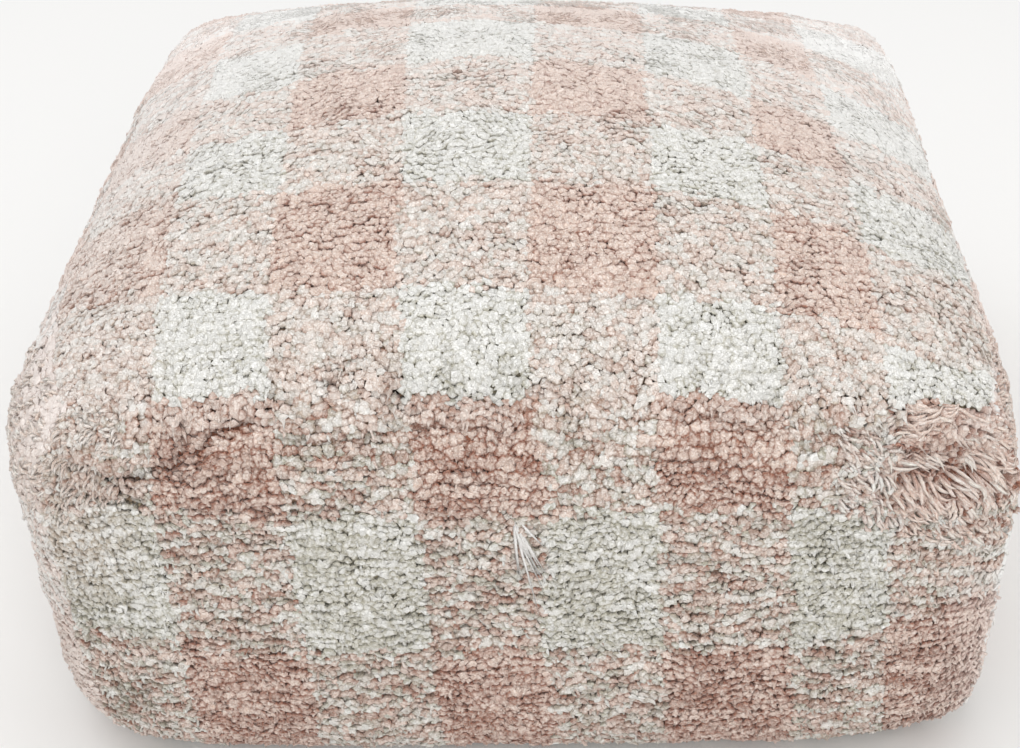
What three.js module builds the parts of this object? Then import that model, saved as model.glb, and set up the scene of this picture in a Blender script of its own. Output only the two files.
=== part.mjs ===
// Kids' pouf: a square boxed cushion with a domed top. Four side panels and a top panel of deep
// tufted cotton are sewn over one filled body, whose plain woven base lies on the floor.
// Millimetres, +Z up. The front panel faces -Y. The origin is on the floor, under the middle.
import * as THREE from 'three';
import { mergeVertices } from 'three/addons/utils/BufferGeometryUtils.js';

// Driving dimensions of the filled body, which the tufted panels cover
const HALF_SIDE = 220; // middle of the body to the top seam
const SEAM_HEIGHT = 216; // floor to the top seam at the middle of a side
const CROWN = 61; // rise of the top above its seam
const CROWN_FULLNESS = 1.39; // 1 is a full, elliptical crown, 2 a peaked one
const CROWN_SKEW = -0.118; // the filling sits a little to the left
const SEAM_TILT = -5.6; // the top seam sinks this much from the middle to the right
const CORNER_DROP = 6.4; // the top seam sinks towards its corners
const TOP_CORNER_PULL = 0.035; // share by which the corners draw in at the top seam
const BASE_CORNER_PULL = 0.064; // the same at the base
const CORNER_SHARPNESS = 7;
const BASE_TAPER = 0.008; // the base is this share narrower than the top seam
const BASE_SHIFT = 2.7; // the base lies a little to the right of the middle
const TOP_SHIFT = -4.2; // and the top a little to the left
const SWELL_FLATNESS = 6; // a side bulges evenly, and turns in close to its seams
const SWELL_CORNER_LOSS = 0.17; // share of the bulge that a corner loses
const ROLL_DEPTH = 19; // the sides roll in under, to the base's rim
const ROLL_HEIGHT = 27;

// Tufted panels
const PILE = 12; // backing and pile together
const SEAM_PILE = 0.7; // share of it left where two panels are sewn together
const SEAM_CREASE = 8; // how far from a seam the pile is crushed
const LUMP = 1.1; // the pile's uneven height
const BROAD_LUMPS = [17, 21, 29]; // how far apart the lumps lie, over two pi
const FINE_LUMPS = [9, 11, 8];
const PIECE_GAP = 0.35; // between a panel and the body
const SEAM_GAP = 0.25; // from a panel's edge to the middle of its seam
const LEAST_MITRE = 0.75; // keeps the pile at a corner from standing out in a point
const FLOOR_GAP = 0.5; // from the lowest pile to the floor
const FLOOR_REACH = 43; // up to this height the floor presses the pile outwards

// Sides in turn, each a quarter turn on from the last, and how far it bulges
const SIDES = [
  { name: 'front_panel', swell: 18 },
  { name: 'right_panel', swell: 10 },
  { name: 'back_panel', swell: 18 },
  { name: 'left_panel', swell: 20 },
];

// Corners that the cover's tension pulls out of square: which corner, and how far it moves
const CORNERS = [
  { across: -1, along: -1, x: 9, y: -13, drop: 4 },
  { across: 1, along: -1, x: 2, y: -3, drop: 5 },
];
const CORNER_REACH = 6;
const CORNER_BASE_SHARE = 0.2; // share of that move left at the base

// The left side stands out by this much more, just behind the front corner
const SHOULDER = { swell: 10, reach: 8 };

// Soft creases in the front panel, as routes of x and z on its face
const CREASES = [
  { depth: 5, width: 8, route: [[-206, 194], [-192, 186], [-177, 189], [-163, 194], [-160, 207]] },
  { depth: 3, width: 7, route: [[-207, 181], [-193, 177], [-180, 178]] },
  { depth: 4, width: 7, route: [[-153, 199], [-146, 207], [-137, 209], [-117, 209]] },
  { depth: 5, width: 8, route: [[140, 200], [158, 200], [172, 204]] },
  { depth: 6, width: 9, route: [[168, 191], [176, 189], [186, 190], [197, 194]] },
];
const CREASE_FADE = 40; // a higher power keeps a crease's depth nearer to a seam

// Mesh density: steps across a panel, and up a side
const ACROSS = 24;
const UP = 14;

const TUFTED_COTTON = { color: 0xcdbfb4, roughness: 0.95, metalness: 0 };
const WOVEN_BASE = { color: 0xd9d2c4, roughness: 0.9, metalness: 0 };

// Steps from -1 to 1, closer together towards the seams
const acrossSteps = Array.from({ length: ACROSS + 1 }, (_, i) => -Math.cos((Math.PI * i) / ACROSS));
// Steps from the base, 0, to the top seam, 1, closer together at both
const upSteps = Array.from({ length: UP + 1 }, (_, j) => (1 - Math.cos((Math.PI * j) / UP)) / 2);

const size = (value, exponent) => Math.abs(value) ** exponent;

// How far the point at (u, v) of the plan, each from -1 to 1, moves with the pulled corners
function cornerMove(u, v) {
  const move = new THREE.Vector3();
  for (const corner of CORNERS) {
    if (u * corner.across > 0 && v * corner.along > 0) {
      const share = size(u * v, CORNER_REACH);
      move.add(new THREE.Vector3(corner.x, corner.y, -corner.drop).multiplyScalar(share));
    }
  }
  return move;
}

function topPoint(u, v) {
  const drawn = 1 - TOP_CORNER_PULL * size(u * v, CORNER_SHARPNESS);
  const arch = Math.sqrt(Math.max(0, (1 - u * u) * (1 - v * v)));
  const seam = SEAM_HEIGHT - CORNER_DROP * size(u * v, 3) + SEAM_TILT * u;
  const rise = CROWN * (1 + CROWN_SKEW * u) * arch ** CROWN_FULLNESS;
  const point = new THREE.Vector3(HALF_SIDE * u * drawn + TOP_SHIFT, HALF_SIDE * v * drawn, seam + rise);
  return point.add(cornerMove(u, v));
}

// Plan position, from -1 to 1 each way, of the point s along a side's top seam
function sidePlan(side, s) {
  return [[s, -1], [1, s], [-s, 1], [-1, -s]][side];
}

function distanceToRoute(x, z, route) {
  const point = new THREE.Vector3(x, z, 0);
  const nearest = new THREE.Vector3();
  let distance = Infinity;
  for (let i = 0; i + 1 < route.length; i += 1) {
    const start = new THREE.Vector3(...route[i], 0);
    const end = new THREE.Vector3(...route[i + 1], 0);
    new THREE.Line3(start, end).closestPointToPoint(point, true, nearest);
    distance = Math.min(distance, nearest.distanceTo(point));
  }
  return distance;
}

// Depth of the front panel's creases at a point of it, none at its seams
function creaseDepth(s, t, x, z) {
  const deepest = CREASES.reduce((depth, crease) => {
    const distance = distanceToRoute(x, z, crease.route);
    return Math.max(depth, crease.depth * Math.exp(-((distance / crease.width) ** 2)));
  }, 0);
  return deepest * (1 - size(s, CREASE_FADE)) * (1 - size(t, CREASE_FADE));
}

// A point of a side: s runs from its left end, -1, to its right, 1, and t from the base to the seam
function sidePoint(side, s, t) {
  const [u, v] = sidePlan(side, s);
  const under = Math.max(0, 1 - (t * SEAM_HEIGHT) / ROLL_HEIGHT);
  const roll = ROLL_DEPTH * (1 - Math.sqrt(1 - under * under));
  const pull = BASE_CORNER_PULL + (TOP_CORNER_PULL - BASE_CORNER_PULL) * t;
  const half = (HALF_SIDE - roll) * (1 - pull * size(s, CORNER_SHARPNESS)) * (1 - BASE_TAPER * (1 - t));

  const neighbour = SIDES[(side + (s > 0 ? 1 : 3)) % 4];
  const cornerSwell = ((SIDES[side].swell + neighbour.swell) / 2) * (1 - SWELL_CORNER_LOSS);
  const ends = size(s, 3);
  const swell = SIDES[side].swell * (1 - ends) + cornerSwell * ends;
  const upright = 1 - size(2 * t - 1, SWELL_FLATNESS);
  let out = swell * upright;
  const corner = Math.sign(s) * out * size(s, CORNER_SHARPNESS);
  if (side === 0) out -= creaseDepth(s, t, half * s, t * SEAM_HEIGHT);
  if (side === 3 && s > 0) out += 2 * SHOULDER.swell * ends * (1 - size(s, SHOULDER.reach)) * upright;

  const height = t * (SEAM_HEIGHT - CORNER_DROP * ends + SEAM_TILT * u);
  const point = new THREE.Vector3(half * s + corner, -half - out, height);
  point.applyAxisAngle(new THREE.Vector3(0, 0, 1), (side * Math.PI) / 2);
  const move = cornerMove(u, v).multiplyScalar(CORNER_BASE_SHARE + (1 - CORNER_BASE_SHARE) * t);
  move.z *= t;
  point.x += BASE_SHIFT * (1 - t) + TOP_SHIFT * t;
  return point.add(move);
}

// A grid is a list of rows of points: along its rows and on to its next row turn anticlockwise, as
// seen from outside the pouf
const topGrid = acrossSteps.map((v) => acrossSteps.map((u) => topPoint(u, v)));
const sideGrid = (side) => upSteps.map((t) => acrossSteps.map((s) => sidePoint(side, s, t)));
const sideGrids = SIDES.map((_, side) => sideGrid(side));

// Outward normals of one grid, from its own points alone
function gridNormals(grid) {
  return grid.map((row, j) => row.map((_, i) => {
    const right = row[Math.min(i + 1, row.length - 1)];
    const left = row[Math.max(i - 1, 0)];
    const onward = grid[Math.min(j + 1, grid.length - 1)][i];
    const back = grid[Math.max(j - 1, 0)][i];
    return right.clone().sub(left).cross(onward.clone().sub(back)).normalize();
  }));
}

// Two panels meet in the same points, so a point's place is its key
const placeKey = (point) => point.toArray().map((value) => Math.round(value * 100)).join(' ');

// Offset directions: the mean normal of all panels that meet at a point, lengthened there so that
// a panel keeps its thickness around the seam
function offsetDirections(grids) {
  const meeting = new Map();
  for (const grid of grids) {
    const normals = gridNormals(grid);
    grid.forEach((row, j) => row.forEach((point, i) => {
      const key = placeKey(point);
      meeting.set(key, [...(meeting.get(key) ?? []), normals[j][i]]);
    }));
  }
  return grids.map((grid) => grid.map((row) => row.map((point) => {
    const normals = meeting.get(placeKey(point));
    const mean = normals.reduce((sum, normal) => sum.add(normal), new THREE.Vector3()).normalize();
    const steepest = Math.min(...normals.map((normal) => normal.dot(mean)));
    return mean.divideScalar(Math.max(LEAST_MITRE, steepest));
  })));
}

// Length of a grid's surface from each point to the nearest edge that is a seam
function seamDistances(grid, bottomIsSeam) {
  const last = grid.length - 1;
  const run = (points) => {
    const lengths = [0];
    for (let i = 1; i < points.length; i += 1) {
      lengths.push(lengths[i - 1] + points[i].distanceTo(points[i - 1]));
    }
    return lengths;
  };
  const rows = grid.map(run);
  const columns = grid[0].map((_, i) => run(grid.map((row) => row[i])));
  return grid.map((row, j) => row.map((_, i) => {
    const across = Math.min(rows[j][i], rows[j][row.length - 1] - rows[j][i]);
    const above = columns[i][last] - columns[i][j];
    const below = bottomIsSeam ? columns[i][j] : Infinity;
    return Math.min(across, above, below);
  }));
}

function lumps({ x, y, z }) {
  const [a, b, c] = BROAD_LUMPS;
  const [d, e, f] = FINE_LUMPS;
  const broad = Math.sin(x / a + z / c) * Math.sin(y / b - z / a);
  const fine = Math.sin(x / d + y / e + z / f);
  return LUMP * (broad + fine / 2);
}

// Near the floor the pile can't lean down
function pressedOut(direction, point) {
  if (direction.z >= 0) return direction;
  const pressed = direction.clone();
  pressed.z *= Math.min(1, point.z / FLOOR_REACH);
  return pressed.setLength(direction.length());
}

// Moves a panel's edge points towards the panel's middle, clear of the next panel
function insetSeams(grid, bottomIsSeam) {
  const lastRow = grid.length - 1;
  const lastColumn = grid[0].length - 1;
  return grid.map((row, j) => row.map((point, i) => {
    const moved = point.clone();
    const towards = (other) => moved.add(new THREE.Vector3().subVectors(other, point).setLength(SEAM_GAP));
    if (i === 0) towards(row[1]);
    if (i === lastColumn) towards(row[lastColumn - 1]);
    if (j === lastRow) towards(grid[lastRow - 1][i]);
    if (j === 0 && bottomIsSeam) towards(grid[1][i]);
    return moved;
  }));
}

// Two panels share a wall's cell before their seam gap is cut, so both split it the same way, on
// its shorter diagonal
function cellTriangles(a, b, c, d) {
  if (a.distanceTo(c) <= b.distanceTo(d)) return [[a, b, c], [a, c, d]];
  return [[a, b, d], [b, c, d]];
}

function gridTriangles(grid) {
  const triangles = [];
  for (let j = 0; j + 1 < grid.length; j += 1) {
    for (let i = 0; i + 1 < grid[j].length; i += 1) {
      triangles.push(...cellTriangles(grid[j][i], grid[j][i + 1], grid[j + 1][i + 1], grid[j + 1][i]));
    }
  }
  return triangles;
}

// The points around a grid's edge, anticlockwise as seen from outside
function gridRim(grid) {
  const lastRow = grid.length - 1;
  const lastColumn = grid[0].length - 1;
  return [
    ...grid[0].slice(0, lastColumn),
    ...grid.slice(0, lastRow).map((row) => row[lastColumn]),
    ...grid[lastRow].slice(1).reverse(),
    ...grid.slice(1).reverse().map((row) => row[0]),
  ];
}

function solidMesh(name, triangles, finish) {
  const positions = triangles.flatMap((triangle) => triangle.flatMap((point) => point.toArray()));
  const loose = new THREE.BufferGeometry();
  loose.setAttribute('position', new THREE.Float32BufferAttribute(positions, 3));
  const geometry = mergeVertices(loose, 1e-3);
  geometry.computeVertexNormals();
  const mesh = new THREE.Mesh(geometry, new THREE.MeshStandardMaterial(finish));
  mesh.name = name;
  return mesh;
}

// The filled body: every panel's grid, closed underneath by a flat base
function buildBody() {
  const triangles = [topGrid, ...sideGrids].flatMap(gridTriangles);
  const middle = new THREE.Vector3(0, 0, 0);
  for (const grid of sideGrids) {
    const rim = grid[0];
    for (let i = 0; i + 1 < rim.length; i += 1) {
      triangles.push([middle, rim[i + 1], rim[i]]);
    }
  }
  return solidMesh('filled_cushion', triangles, WOVEN_BASE);
}

// One tufted panel: an inner face just off the body, an outer one a pile's thickness out, and the
// wall between them. The top panel is sewn all round, a side panel on three edges: its lowest pile
// hangs to the floor around the base.
function buildPanel(name, grid, directions, sewnBelow) {
  const distances = seamDistances(grid, sewnBelow);
  const inner = grid.map((row, j) => row.map((point, i) => (
    point.clone().addScaledVector(directions[j][i], PIECE_GAP)
  )));
  const outer = grid.map((row, j) => row.map((point, i) => {
    const crushed = (1 - SEAM_PILE) * Math.exp(-((distances[j][i] / SEAM_CREASE) ** 2));
    const thickness = (PILE + lumps(point)) * (1 - crushed);
    const moved = point.clone().addScaledVector(pressedOut(directions[j][i], point), thickness);
    moved.z = Math.max(moved.z, FLOOR_GAP);
    return moved;
  }));
  const innerFace = insetSeams(inner, sewnBelow);
  const outerFace = insetSeams(outer, sewnBelow);
  const innerRim = gridRim(innerFace);
  const outerRim = gridRim(outerFace);
  const wall = outerRim.flatMap((point, i) => {
    const next = (i + 1) % outerRim.length;
    return cellTriangles(point, innerRim[i], innerRim[next], outerRim[next]);
  });
  const inward = gridTriangles(innerFace).map(([a, b, c]) => [a, c, b]);
  return solidMesh(name, [...gridTriangles(outerFace), ...inward, ...wall], TUFTED_COTTON);
}

const pouf = new THREE.Group();
pouf.add(buildBody());
const directions = offsetDirections([topGrid, ...sideGrids]);
pouf.add(buildPanel('top_panel', topGrid, directions[0], true));
SIDES.forEach(({ name }, side) => {
  // A side panel's backing ends at the second row, where the body turns under to its base
  pouf.add(buildPanel(name, sideGrids[side].slice(1), directions[side + 1].slice(1), false));
});

// The sizes above are measured from the middle of the base: this brings the middle of the whole
// pouf over the origin
const middle = new THREE.Box3().setFromObject(pouf).getCenter(new THREE.Vector3());
for (const mesh of pouf.children) mesh.geometry.translate(-middle.x, -middle.y, 0);

export default pouf;
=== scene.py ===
import math
from types import SimpleNamespace

import bpy
import numpy as np
from mathutils import Matrix, kdtree


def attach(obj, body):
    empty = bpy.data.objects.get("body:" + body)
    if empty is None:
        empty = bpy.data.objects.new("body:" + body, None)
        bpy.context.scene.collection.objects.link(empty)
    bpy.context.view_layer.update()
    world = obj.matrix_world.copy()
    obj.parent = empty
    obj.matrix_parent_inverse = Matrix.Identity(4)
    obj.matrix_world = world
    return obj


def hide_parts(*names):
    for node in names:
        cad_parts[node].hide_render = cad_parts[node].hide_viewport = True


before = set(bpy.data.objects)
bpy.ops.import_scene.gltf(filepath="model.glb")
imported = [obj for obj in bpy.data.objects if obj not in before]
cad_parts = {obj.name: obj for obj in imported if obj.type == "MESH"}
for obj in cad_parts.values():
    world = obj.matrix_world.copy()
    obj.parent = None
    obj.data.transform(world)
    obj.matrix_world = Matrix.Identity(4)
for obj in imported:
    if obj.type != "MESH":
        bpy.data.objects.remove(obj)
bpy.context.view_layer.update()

MM = 0.001
FRONT, RIGHT, BACK, LEFT, TOP = range(5)
PANEL_NAMES = ("front_panel", "right_panel", "back_panel", "left_panel", "top_panel")

# The camera, as it stood for the photograph: its turns in degrees, how far it stands from a target on the
# pouf's middle line, its lens, and the size of the photo and the point that the lens faces, in pixels.
PITCH, YAW, ROLL = 30.6146, -1.5038, -1.703
DISTANCE, TARGET_HEIGHT, LENS, SENSOR = 1.11468, 0.14, 67.33, 36.0
WIDTH, HEIGHT, CENTRE_X, CENTRE_Y = 1020, 748, 535.68, 294.71

# The filled body, with the same values and formulas as the part's source.
HALF_SIDE, SEAM_HEIGHT = 220 * MM, 216 * MM
CROWN, CROWN_FULLNESS, CROWN_SKEW = 61 * MM, 1.39, -0.118
SEAM_TILT, CORNER_DROP = -5.6 * MM, 6.4 * MM
TOP_CORNER_PULL, BASE_CORNER_PULL, CORNER_SHARPNESS = 0.035, 0.064, 7
BASE_TAPER, BASE_SHIFT, TOP_SHIFT = 0.008, 2.7 * MM, -4.2 * MM
SWELLS, SWELL_FLATNESS, SWELL_CORNER_LOSS = (18 * MM, 10 * MM, 18 * MM, 20 * MM), 6, 0.17
ROLL_DEPTH, ROLL_HEIGHT = 19 * MM, 27 * MM
CORNERS = {(-1, -1): (9 * MM, -13 * MM, 4 * MM), (1, -1): (2 * MM, -3 * MM, 5 * MM)}
CORNER_REACH, CORNER_BASE_SHARE = 6, 0.2
SHOULDER_SWELL, SHOULDER_REACH = 10 * MM, 8
# Each crease of the front: its depth, its width, and its route in x and height, in millimetres.
CREASES = (
    (5, 8, ((-206, 194), (-192, 186), (-177, 189), (-163, 194), (-160, 207))),
    (3, 7, ((-207, 181), (-193, 177), (-180, 178))),
    (4, 7, ((-153, 199), (-146, 207), (-137, 209), (-117, 209))),
    (5, 8, ((140, 200), (158, 200), (172, 204))),
    (6, 9, ((168, 191), (176, 189), (186, 190), (197, 194))),
)
CREASE_FADE = 40
FLOOR_REACH = 43 * MM
RECENTRE = np.array((7.07 * MM, 0.12 * MM, 0))
EDGE = 0.002  # how near to a seam a place may lie, as a share of the panel
TANGENT_STEP, TINY = 2e-3, 1e-6
BODY_CUTS, FACING_DOWN = 47, -0.99

# Below, a growth is how large something gets, where it starts and over how far it grows. A wave is its
# size, its wavelength and its seed. Two values for panels are for the sides and the top, or, where the
# line says so, for the front and the others.

# The pile: its length, the share left in the seams and how far they reach, and its uneven height.
PILE, SEAM_PILE, SEAM_CREASE = 12 * MM, 0.98, 8 * MM
PILE_WAVES = ((0.05, 32 * MM, 19), (0.04, 13 * MM, 20))
# Where it is longer or shorter: the middle and the reach of each place, and by how much, in millimetres.
PILE_CHANGES = (
    ((235, 0, 150), (60, 170, 110), -4.0),
    ((228, -228, 30), (60, 70, 60), -5.0),
    ((-235, 0, 120), (60, 170, 110), -1.8),
    ((-215, -228, 40), (60, 60, 50), -2.0),
    ((-230, -228, 196), (28, 45, 32), 4.5),
)
FLOOR_CUT = (5.5 * MM, 34 * MM)
TOP_EDGE_CUT = (1.5 * MM, 0.85, 0.15)
# The far half of the top is cut lower, since its edge is flatter in the photo than the crown.
FAR_CUT, FAR_GROWTH, FAR_SEAM = 6 * MM, (1, 0.1, 0.5), 0.12
SEAM_FAN, PILE_FAN, CLOTH_FAN = 26 * MM, 0.95, 0.85
# The ground between the ends: its share of the pile, and how much lower it is where combed or creased.
GROUND, LEAST_GROUND, COMB_HOLLOW, CREASE_HOLLOW = 0.7, 1.5 * MM, 1 * MM, 3 * MM
WAVE_COUNT, WAVE_SPREAD, WAVE_SIZE = 14, (0.75, 1.45), 0.7

# The ends: how far apart they stand, along and between their rows, and how far they stray, in pitches.
END_PITCH = {TOP: 2.85 * MM, FRONT: 2.75 * MM, RIGHT: 3.8 * MM, BACK: 3.9 * MM, LEFT: 3.8 * MM}
END_ROWS, END_STAGGER, END_STRAY = 0.87, 0.25, 0.14
SEAM_INSET = 0.7 * MM
END_CROWDING = {RIGHT: 0.28, LEFT: -0.28}  # how much closer together they stand near the front
ROOT_SHARE, LOCK_ROOT_SHARE, END_LEAN_SPREAD = 0.3, 0.6, 0.3
# An end bends between its root and its tip, above the line between them, and behind its lean.
BEND_SHARES, BEND_RISE, BEND_LAG = (0.45, 0.55), 0.9 * MM, 0.12
LEAST_HEIGHT, LEAST_RING_HEIGHT = 1.2 * MM, 0.5 * MM  # above the floor
SIDES = 5
CAP_HEIGHT, FLAT_AT_BACK, RING_UNEVEN = 0.85, 0.1, 0.35 * MM
END_WIDEST, LEAST_APART = 3.2 * MM, 0.6 * MM
# The gap beside an end of its own tuft, of its own row and of another row, in millimetres, and what
# changes it.
END_GAP, TUFT_GAP, ROW_GAP = -1.4, (-1.5, -0.3), (-1.3, -0.1)
HAZE_FILL, GAP_WAVE = 0.7, (0.35, 24 * MM, 78)
LEAST_FACING, OUTLINE_SPREAD, LOOSE_OUTLINE = 0.15, (1.08, 0.1), (0.85, 1.15)
NEIGHBOURS, TIP_ASIDE, TIP_EVENNESS = 8, 0.8, 1.2

# Leans, in millimetres along and across the rows.
LEAN_WAVES = (((0.9, 46 * MM, 11), (0.6, 19 * MM, 12)), ((0.9, 46 * MM, 13), (0.6, 19 * MM, 14)))
HANG = 1.4
WANDER = ((3 * MM, 60 * MM, 15), (1 * MM, 15 * MM, 16))
# The pile leans to and fro over the front's top seam.
SEAM_LEAN, SEAM_REACH, SEAM_UNEVEN = 5.0, 8 * MM, 0.25
SEAM_WAVES = ((0.8, 22 * MM, 81), (0.6, 9 * MM, 82))

# Bunches of rows part from each other: how long a bunch is, how far its border reaches, how strongly it
# parts, and how much lower the pile is there.
BUNCH, BUNCH_REACH, BUNCH_SEEDS = 17 * MM, 2.2, (31, 41)
BUNCH_STRENGTH = (0.35, 0.75, 34 * MM)
BUNCH_PUSH, BUNCH_DROP = 0.8, 0.9
BUNCH_SIZES, BUNCH_COUNT = (0.5, 1.6), 200

# Tufts: how far apart, how crooked their rows are, how the ends keep together and how high they crown.
TUFT_PITCH, ROW_JITTER, TUFT_HOLD, TUFT_CROWN = 5.6 * MM, (0.14, 0.25), 0.3, (1.3, 0.8)
TUFT_UNEVEN, END_UNEVEN = 0.4, (0.32, 0.28)
TUFT_EDGE, CROWN_SHARES = 0.45, (0.5, 0.8)
TUFT_TABLE, TUFT_PLACES = 256, (0.1, 0.9)  # the table of random places in their cells
BACK_GROWTH, CALM_AT_BACK = (1, -170 * MM, 270 * MM), 0.2
# A tuft's own random numbers are the sines of its number times these.
HEIGHT_TURN, STRAY_TURNS, MIX_TURN = 12.9898, (37.719, 91.17), 78.233

# Over a crease the pile hangs and is longer, under it it is short.
OVERHANG, OVER_LENGTH, UNDERCUT = 3.5, 1.0 * MM, 2.5 * MM
OVER_WIDTH, UNDER_WIDTH = 0.8, 0.5  # as shares of the crease's width
CREASE_CUT, CREASE_CUT_WIDTH, CREASE_SHADE = 4 * MM, 2.4 * MM, 0.7
# The deep partings between the front's rows, picked in the photo: how strong each is, and its
# points, in pixels.
PARTINGS = (
    (1.0, ((177, 422), (200, 425), (230, 420), (255, 421), (270, 419))),
    (1.0, ((285, 436), (325, 437), (355, 434), (385, 426), (415, 421), (450, 420), (475, 420), (507, 427))),
    (0.6, ((360, 449), (395, 446), (417, 436), (430, 434))),
    (0.8, ((177, 472), (200, 475), (220, 471), (240, 469), (270, 467))),
    (0.6, ((325, 487), (360, 485), (375, 480))),
    (0.6, ((455, 480), (485, 481), (507, 476))),
    (0.8, ((180, 505), (210, 507), (250, 506), (270, 509), (305, 509), (335, 505), (360, 502))),
    (0.6, ((422, 495), (460, 495))),
    (0.8, ((445, 510), (470, 512), (485, 510))),
    (0.6, ((160, 537), (200, 535), (235, 537), (285, 537))),
    (0.6, ((422, 545), (470, 550), (500, 552))),
    (0.6, ((165, 580), (220, 577), (275, 580))),
    (0.6, ((430, 587), (500, 585))),
    (0.8, ((560, 440), (590, 441))),
    (1.0, ((672, 417), (700, 415), (720, 412), (750, 420), (770, 425))),
    (0.6, ((662, 460), (690, 457), (715, 462), (740, 460))),
    (0.6, ((710, 480), (740, 487), (765, 490))),
    (0.8, ((595, 565), (625, 562), (650, 559), (695, 559))),
    (0.6, ((550, 580), (600, 592), (650, 591))),
    (0.6, ((710, 580), (740, 577), (775, 584))),
    (0.6, ((810, 535), (850, 537), (890, 540))),
)
PHOTO_PILE, PHOTO_STEPS = 11 * MM, 500  # how deep the pile that they were picked on is, and how finely
PARTING_CUT, PARTING_WIDTH, PARTING_SHADE = 1.6 * MM, 1.9 * MM, 0.95
PARTING_LEAN, PARTING_LIP, PARTING_WAVE = 1.6, (0.8 * MM, 2.4 * MM, 2.2 * MM), (0.8 * MM, 9 * MM, 17)

# The combed pile of the right front corner, and the shorter pile of the left one: the middle and reach of
# each patch in x and height, and how it grows towards the front.
COMB_PATCH = ((212 * MM, 186 * MM), (50 * MM, 30 * MM))
LEFT_PATCH = ((-222 * MM, 196 * MM), (40 * MM, 26 * MM))
CORNER_GROWTH, LEFT_STRENGTH = (1, 150 * MM, 60 * MM), 0.34
COMB, COMB_BESIDE, COMB_GAIN, COMB_CUT = (7.0, 4.5), 0.5, 1.5, 0.8 * MM
COMB_WAVE, COMB_MIDDLE, COMB_LIMIT = (0.5, 13 * MM, 61), 0.85, 1.3
SWIRL_WAVES = (((2.2, 26 * MM, 62), (0.9, 10 * MM, 64)), ((2.2, 26 * MM, 63), (0.9, 10 * MM, 65)))
COMB_TURN, COMB_TURN_HEIGHT, COMB_TURN_REACH = 4.5, 182 * MM, 28 * MM

# Loose locks lie over their neighbours: the share of the ends that carry one, and where there are more.
LOCKS_EVERYWHERE, LOCKS_AT_SEAM = {TOP: 0.04, FRONT: 0.1, RIGHT: 0.12, BACK: 0.12, LEFT: 0.12}, 0.2
LOCKS_ASIDE = {TOP: (0.25, 150 * MM, 60 * MM), FRONT: (0.4, 110 * MM, 70 * MM)}
LOCKS_LOW, LOCKS_AHEAD = (0.15, -170 * MM, 60 * MM), (0.35, 80 * MM, 100 * MM)
LOCK_WIDTH, LOCK_RISE = 0.85 * MM, 0.8 * MM
# Their lean along and across the rows, and how much it varies, in millimetres.
LOCK_LEANS, LOCK_SPREAD, SEAM_LOCK_LEAN = ((0.8, -2.6), (0.4, -0.8)), 1.6, (0, 1.5)
LEAN_FACTORS, SWEPT_CALM, SWEPT_LEAN = (0.6, 1.5), 0.6, 0.35
LOCK_CAPS, SWEPT_CAP, LOCK_WIDTH_FACTORS = (0.6, 0.8), 0.2, (0.7, 1.3)
LOCK_TIP_DROP, LOCK_BEND_LEAN = 0.3, 0.4
# The stray wisp on the front: where it starts and ends, as a and b, and how far its strands spread there.
WISP_START, WISP_START_SPREAD = (-0.027, 0.775), (0.006, 0.006)
WISP_END, WISP_END_SPREAD = (0.026, 0.605), (0.02, 0.035)
WISP_STRANDS, WISP_WIDTH, WISP_SIDE = 11, 0.75 * MM, 2.0 * MM
WISP_ROOT, WISP_RISE, WISP_TIP, WISP_CAP = 0.8, 2.6 * MM, 1.2 * MM, 0.35

# The long locks of the front corners: where their bundles stand as a and b, how many locks each has, how
# much they draw together, their lengths, half widths and turns, and how they fold into a crease.
BUNDLES_ALONG, BUNDLES_UP = (0.5, 1.45), (0.5, 0.985)
BUNDLE_PITCH, BUNDLE_STRAY, BUNDLE_LOCKS, BUNDLE_DRAW = 6.4 * MM, 0.3, 8, 0.5
BUNDLE_KEPT, BUNDLE_REACH = (0.08, 0.2), 0.62
BUNDLE_WAVES = ((14, 26 * MM, 62), (9, 9 * MM, 63))  # in degrees
# Which way they point, in degrees, and how that changes with the height and round the corner.
RIGHT_TURN, RIGHT_TURN_HEIGHT, RIGHT_TURN_BESIDE = -32, (30, 184 * MM, 18 * MM), (20, 0.9, 0.15)
LEFT_TURN, LEFT_TURN_HEIGHT = 205, (55, -192 * MM, 20 * MM)
LOCK_LENGTHS, LEFT_LENGTH, LOCK_WIDTHS = (7.5 * MM, 12 * MM), 0.75, (0.85 * MM, 1.35 * MM)
LENGTH_RANGE, LENGTH_FULL, LENGTH_LEAST = (0.75, 1.15), 0.45, 0.6
LOCK_TURN, OWN_TURNS, TURN_MIDDLE = 0.35, (0.12, 0.25), 0.4
LOCK_STATIONS = np.array((0.0, 0.2, 0.45, 0.72, 1.0))
LOCK_PROFILE = np.array((0.6, 0.95, 1.0, 0.8, 0.3))
LOCK_LIFTS = (0.5, 0.86, 1.0, 0.99, 0.92)
# The tones along each lock are painted shade, darkest at its root; its lower layers and folds are painted
# darker too.
LOCK_TONES = np.array((0.0, 0.35, 0.7, 0.92, 1.0, 1.0, 1.0))
LOCK_SIDES, LOCK_FLATNESS, LOCK_ENDS = 3, 0.75, (1.2, 0.9)
LOCK_LAYERS, LOCK_CLEARANCE = (0.84, 0.2), 0.3 * MM
LOCK_FOLD, FOLD_WIDTH, FOLD_SHADE = 3 * MM, 1.4 * MM, 0.8
LAYER_TONES, TONE_FACTORS = (0.55, 0.45), (0.85, 1.05)

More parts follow.
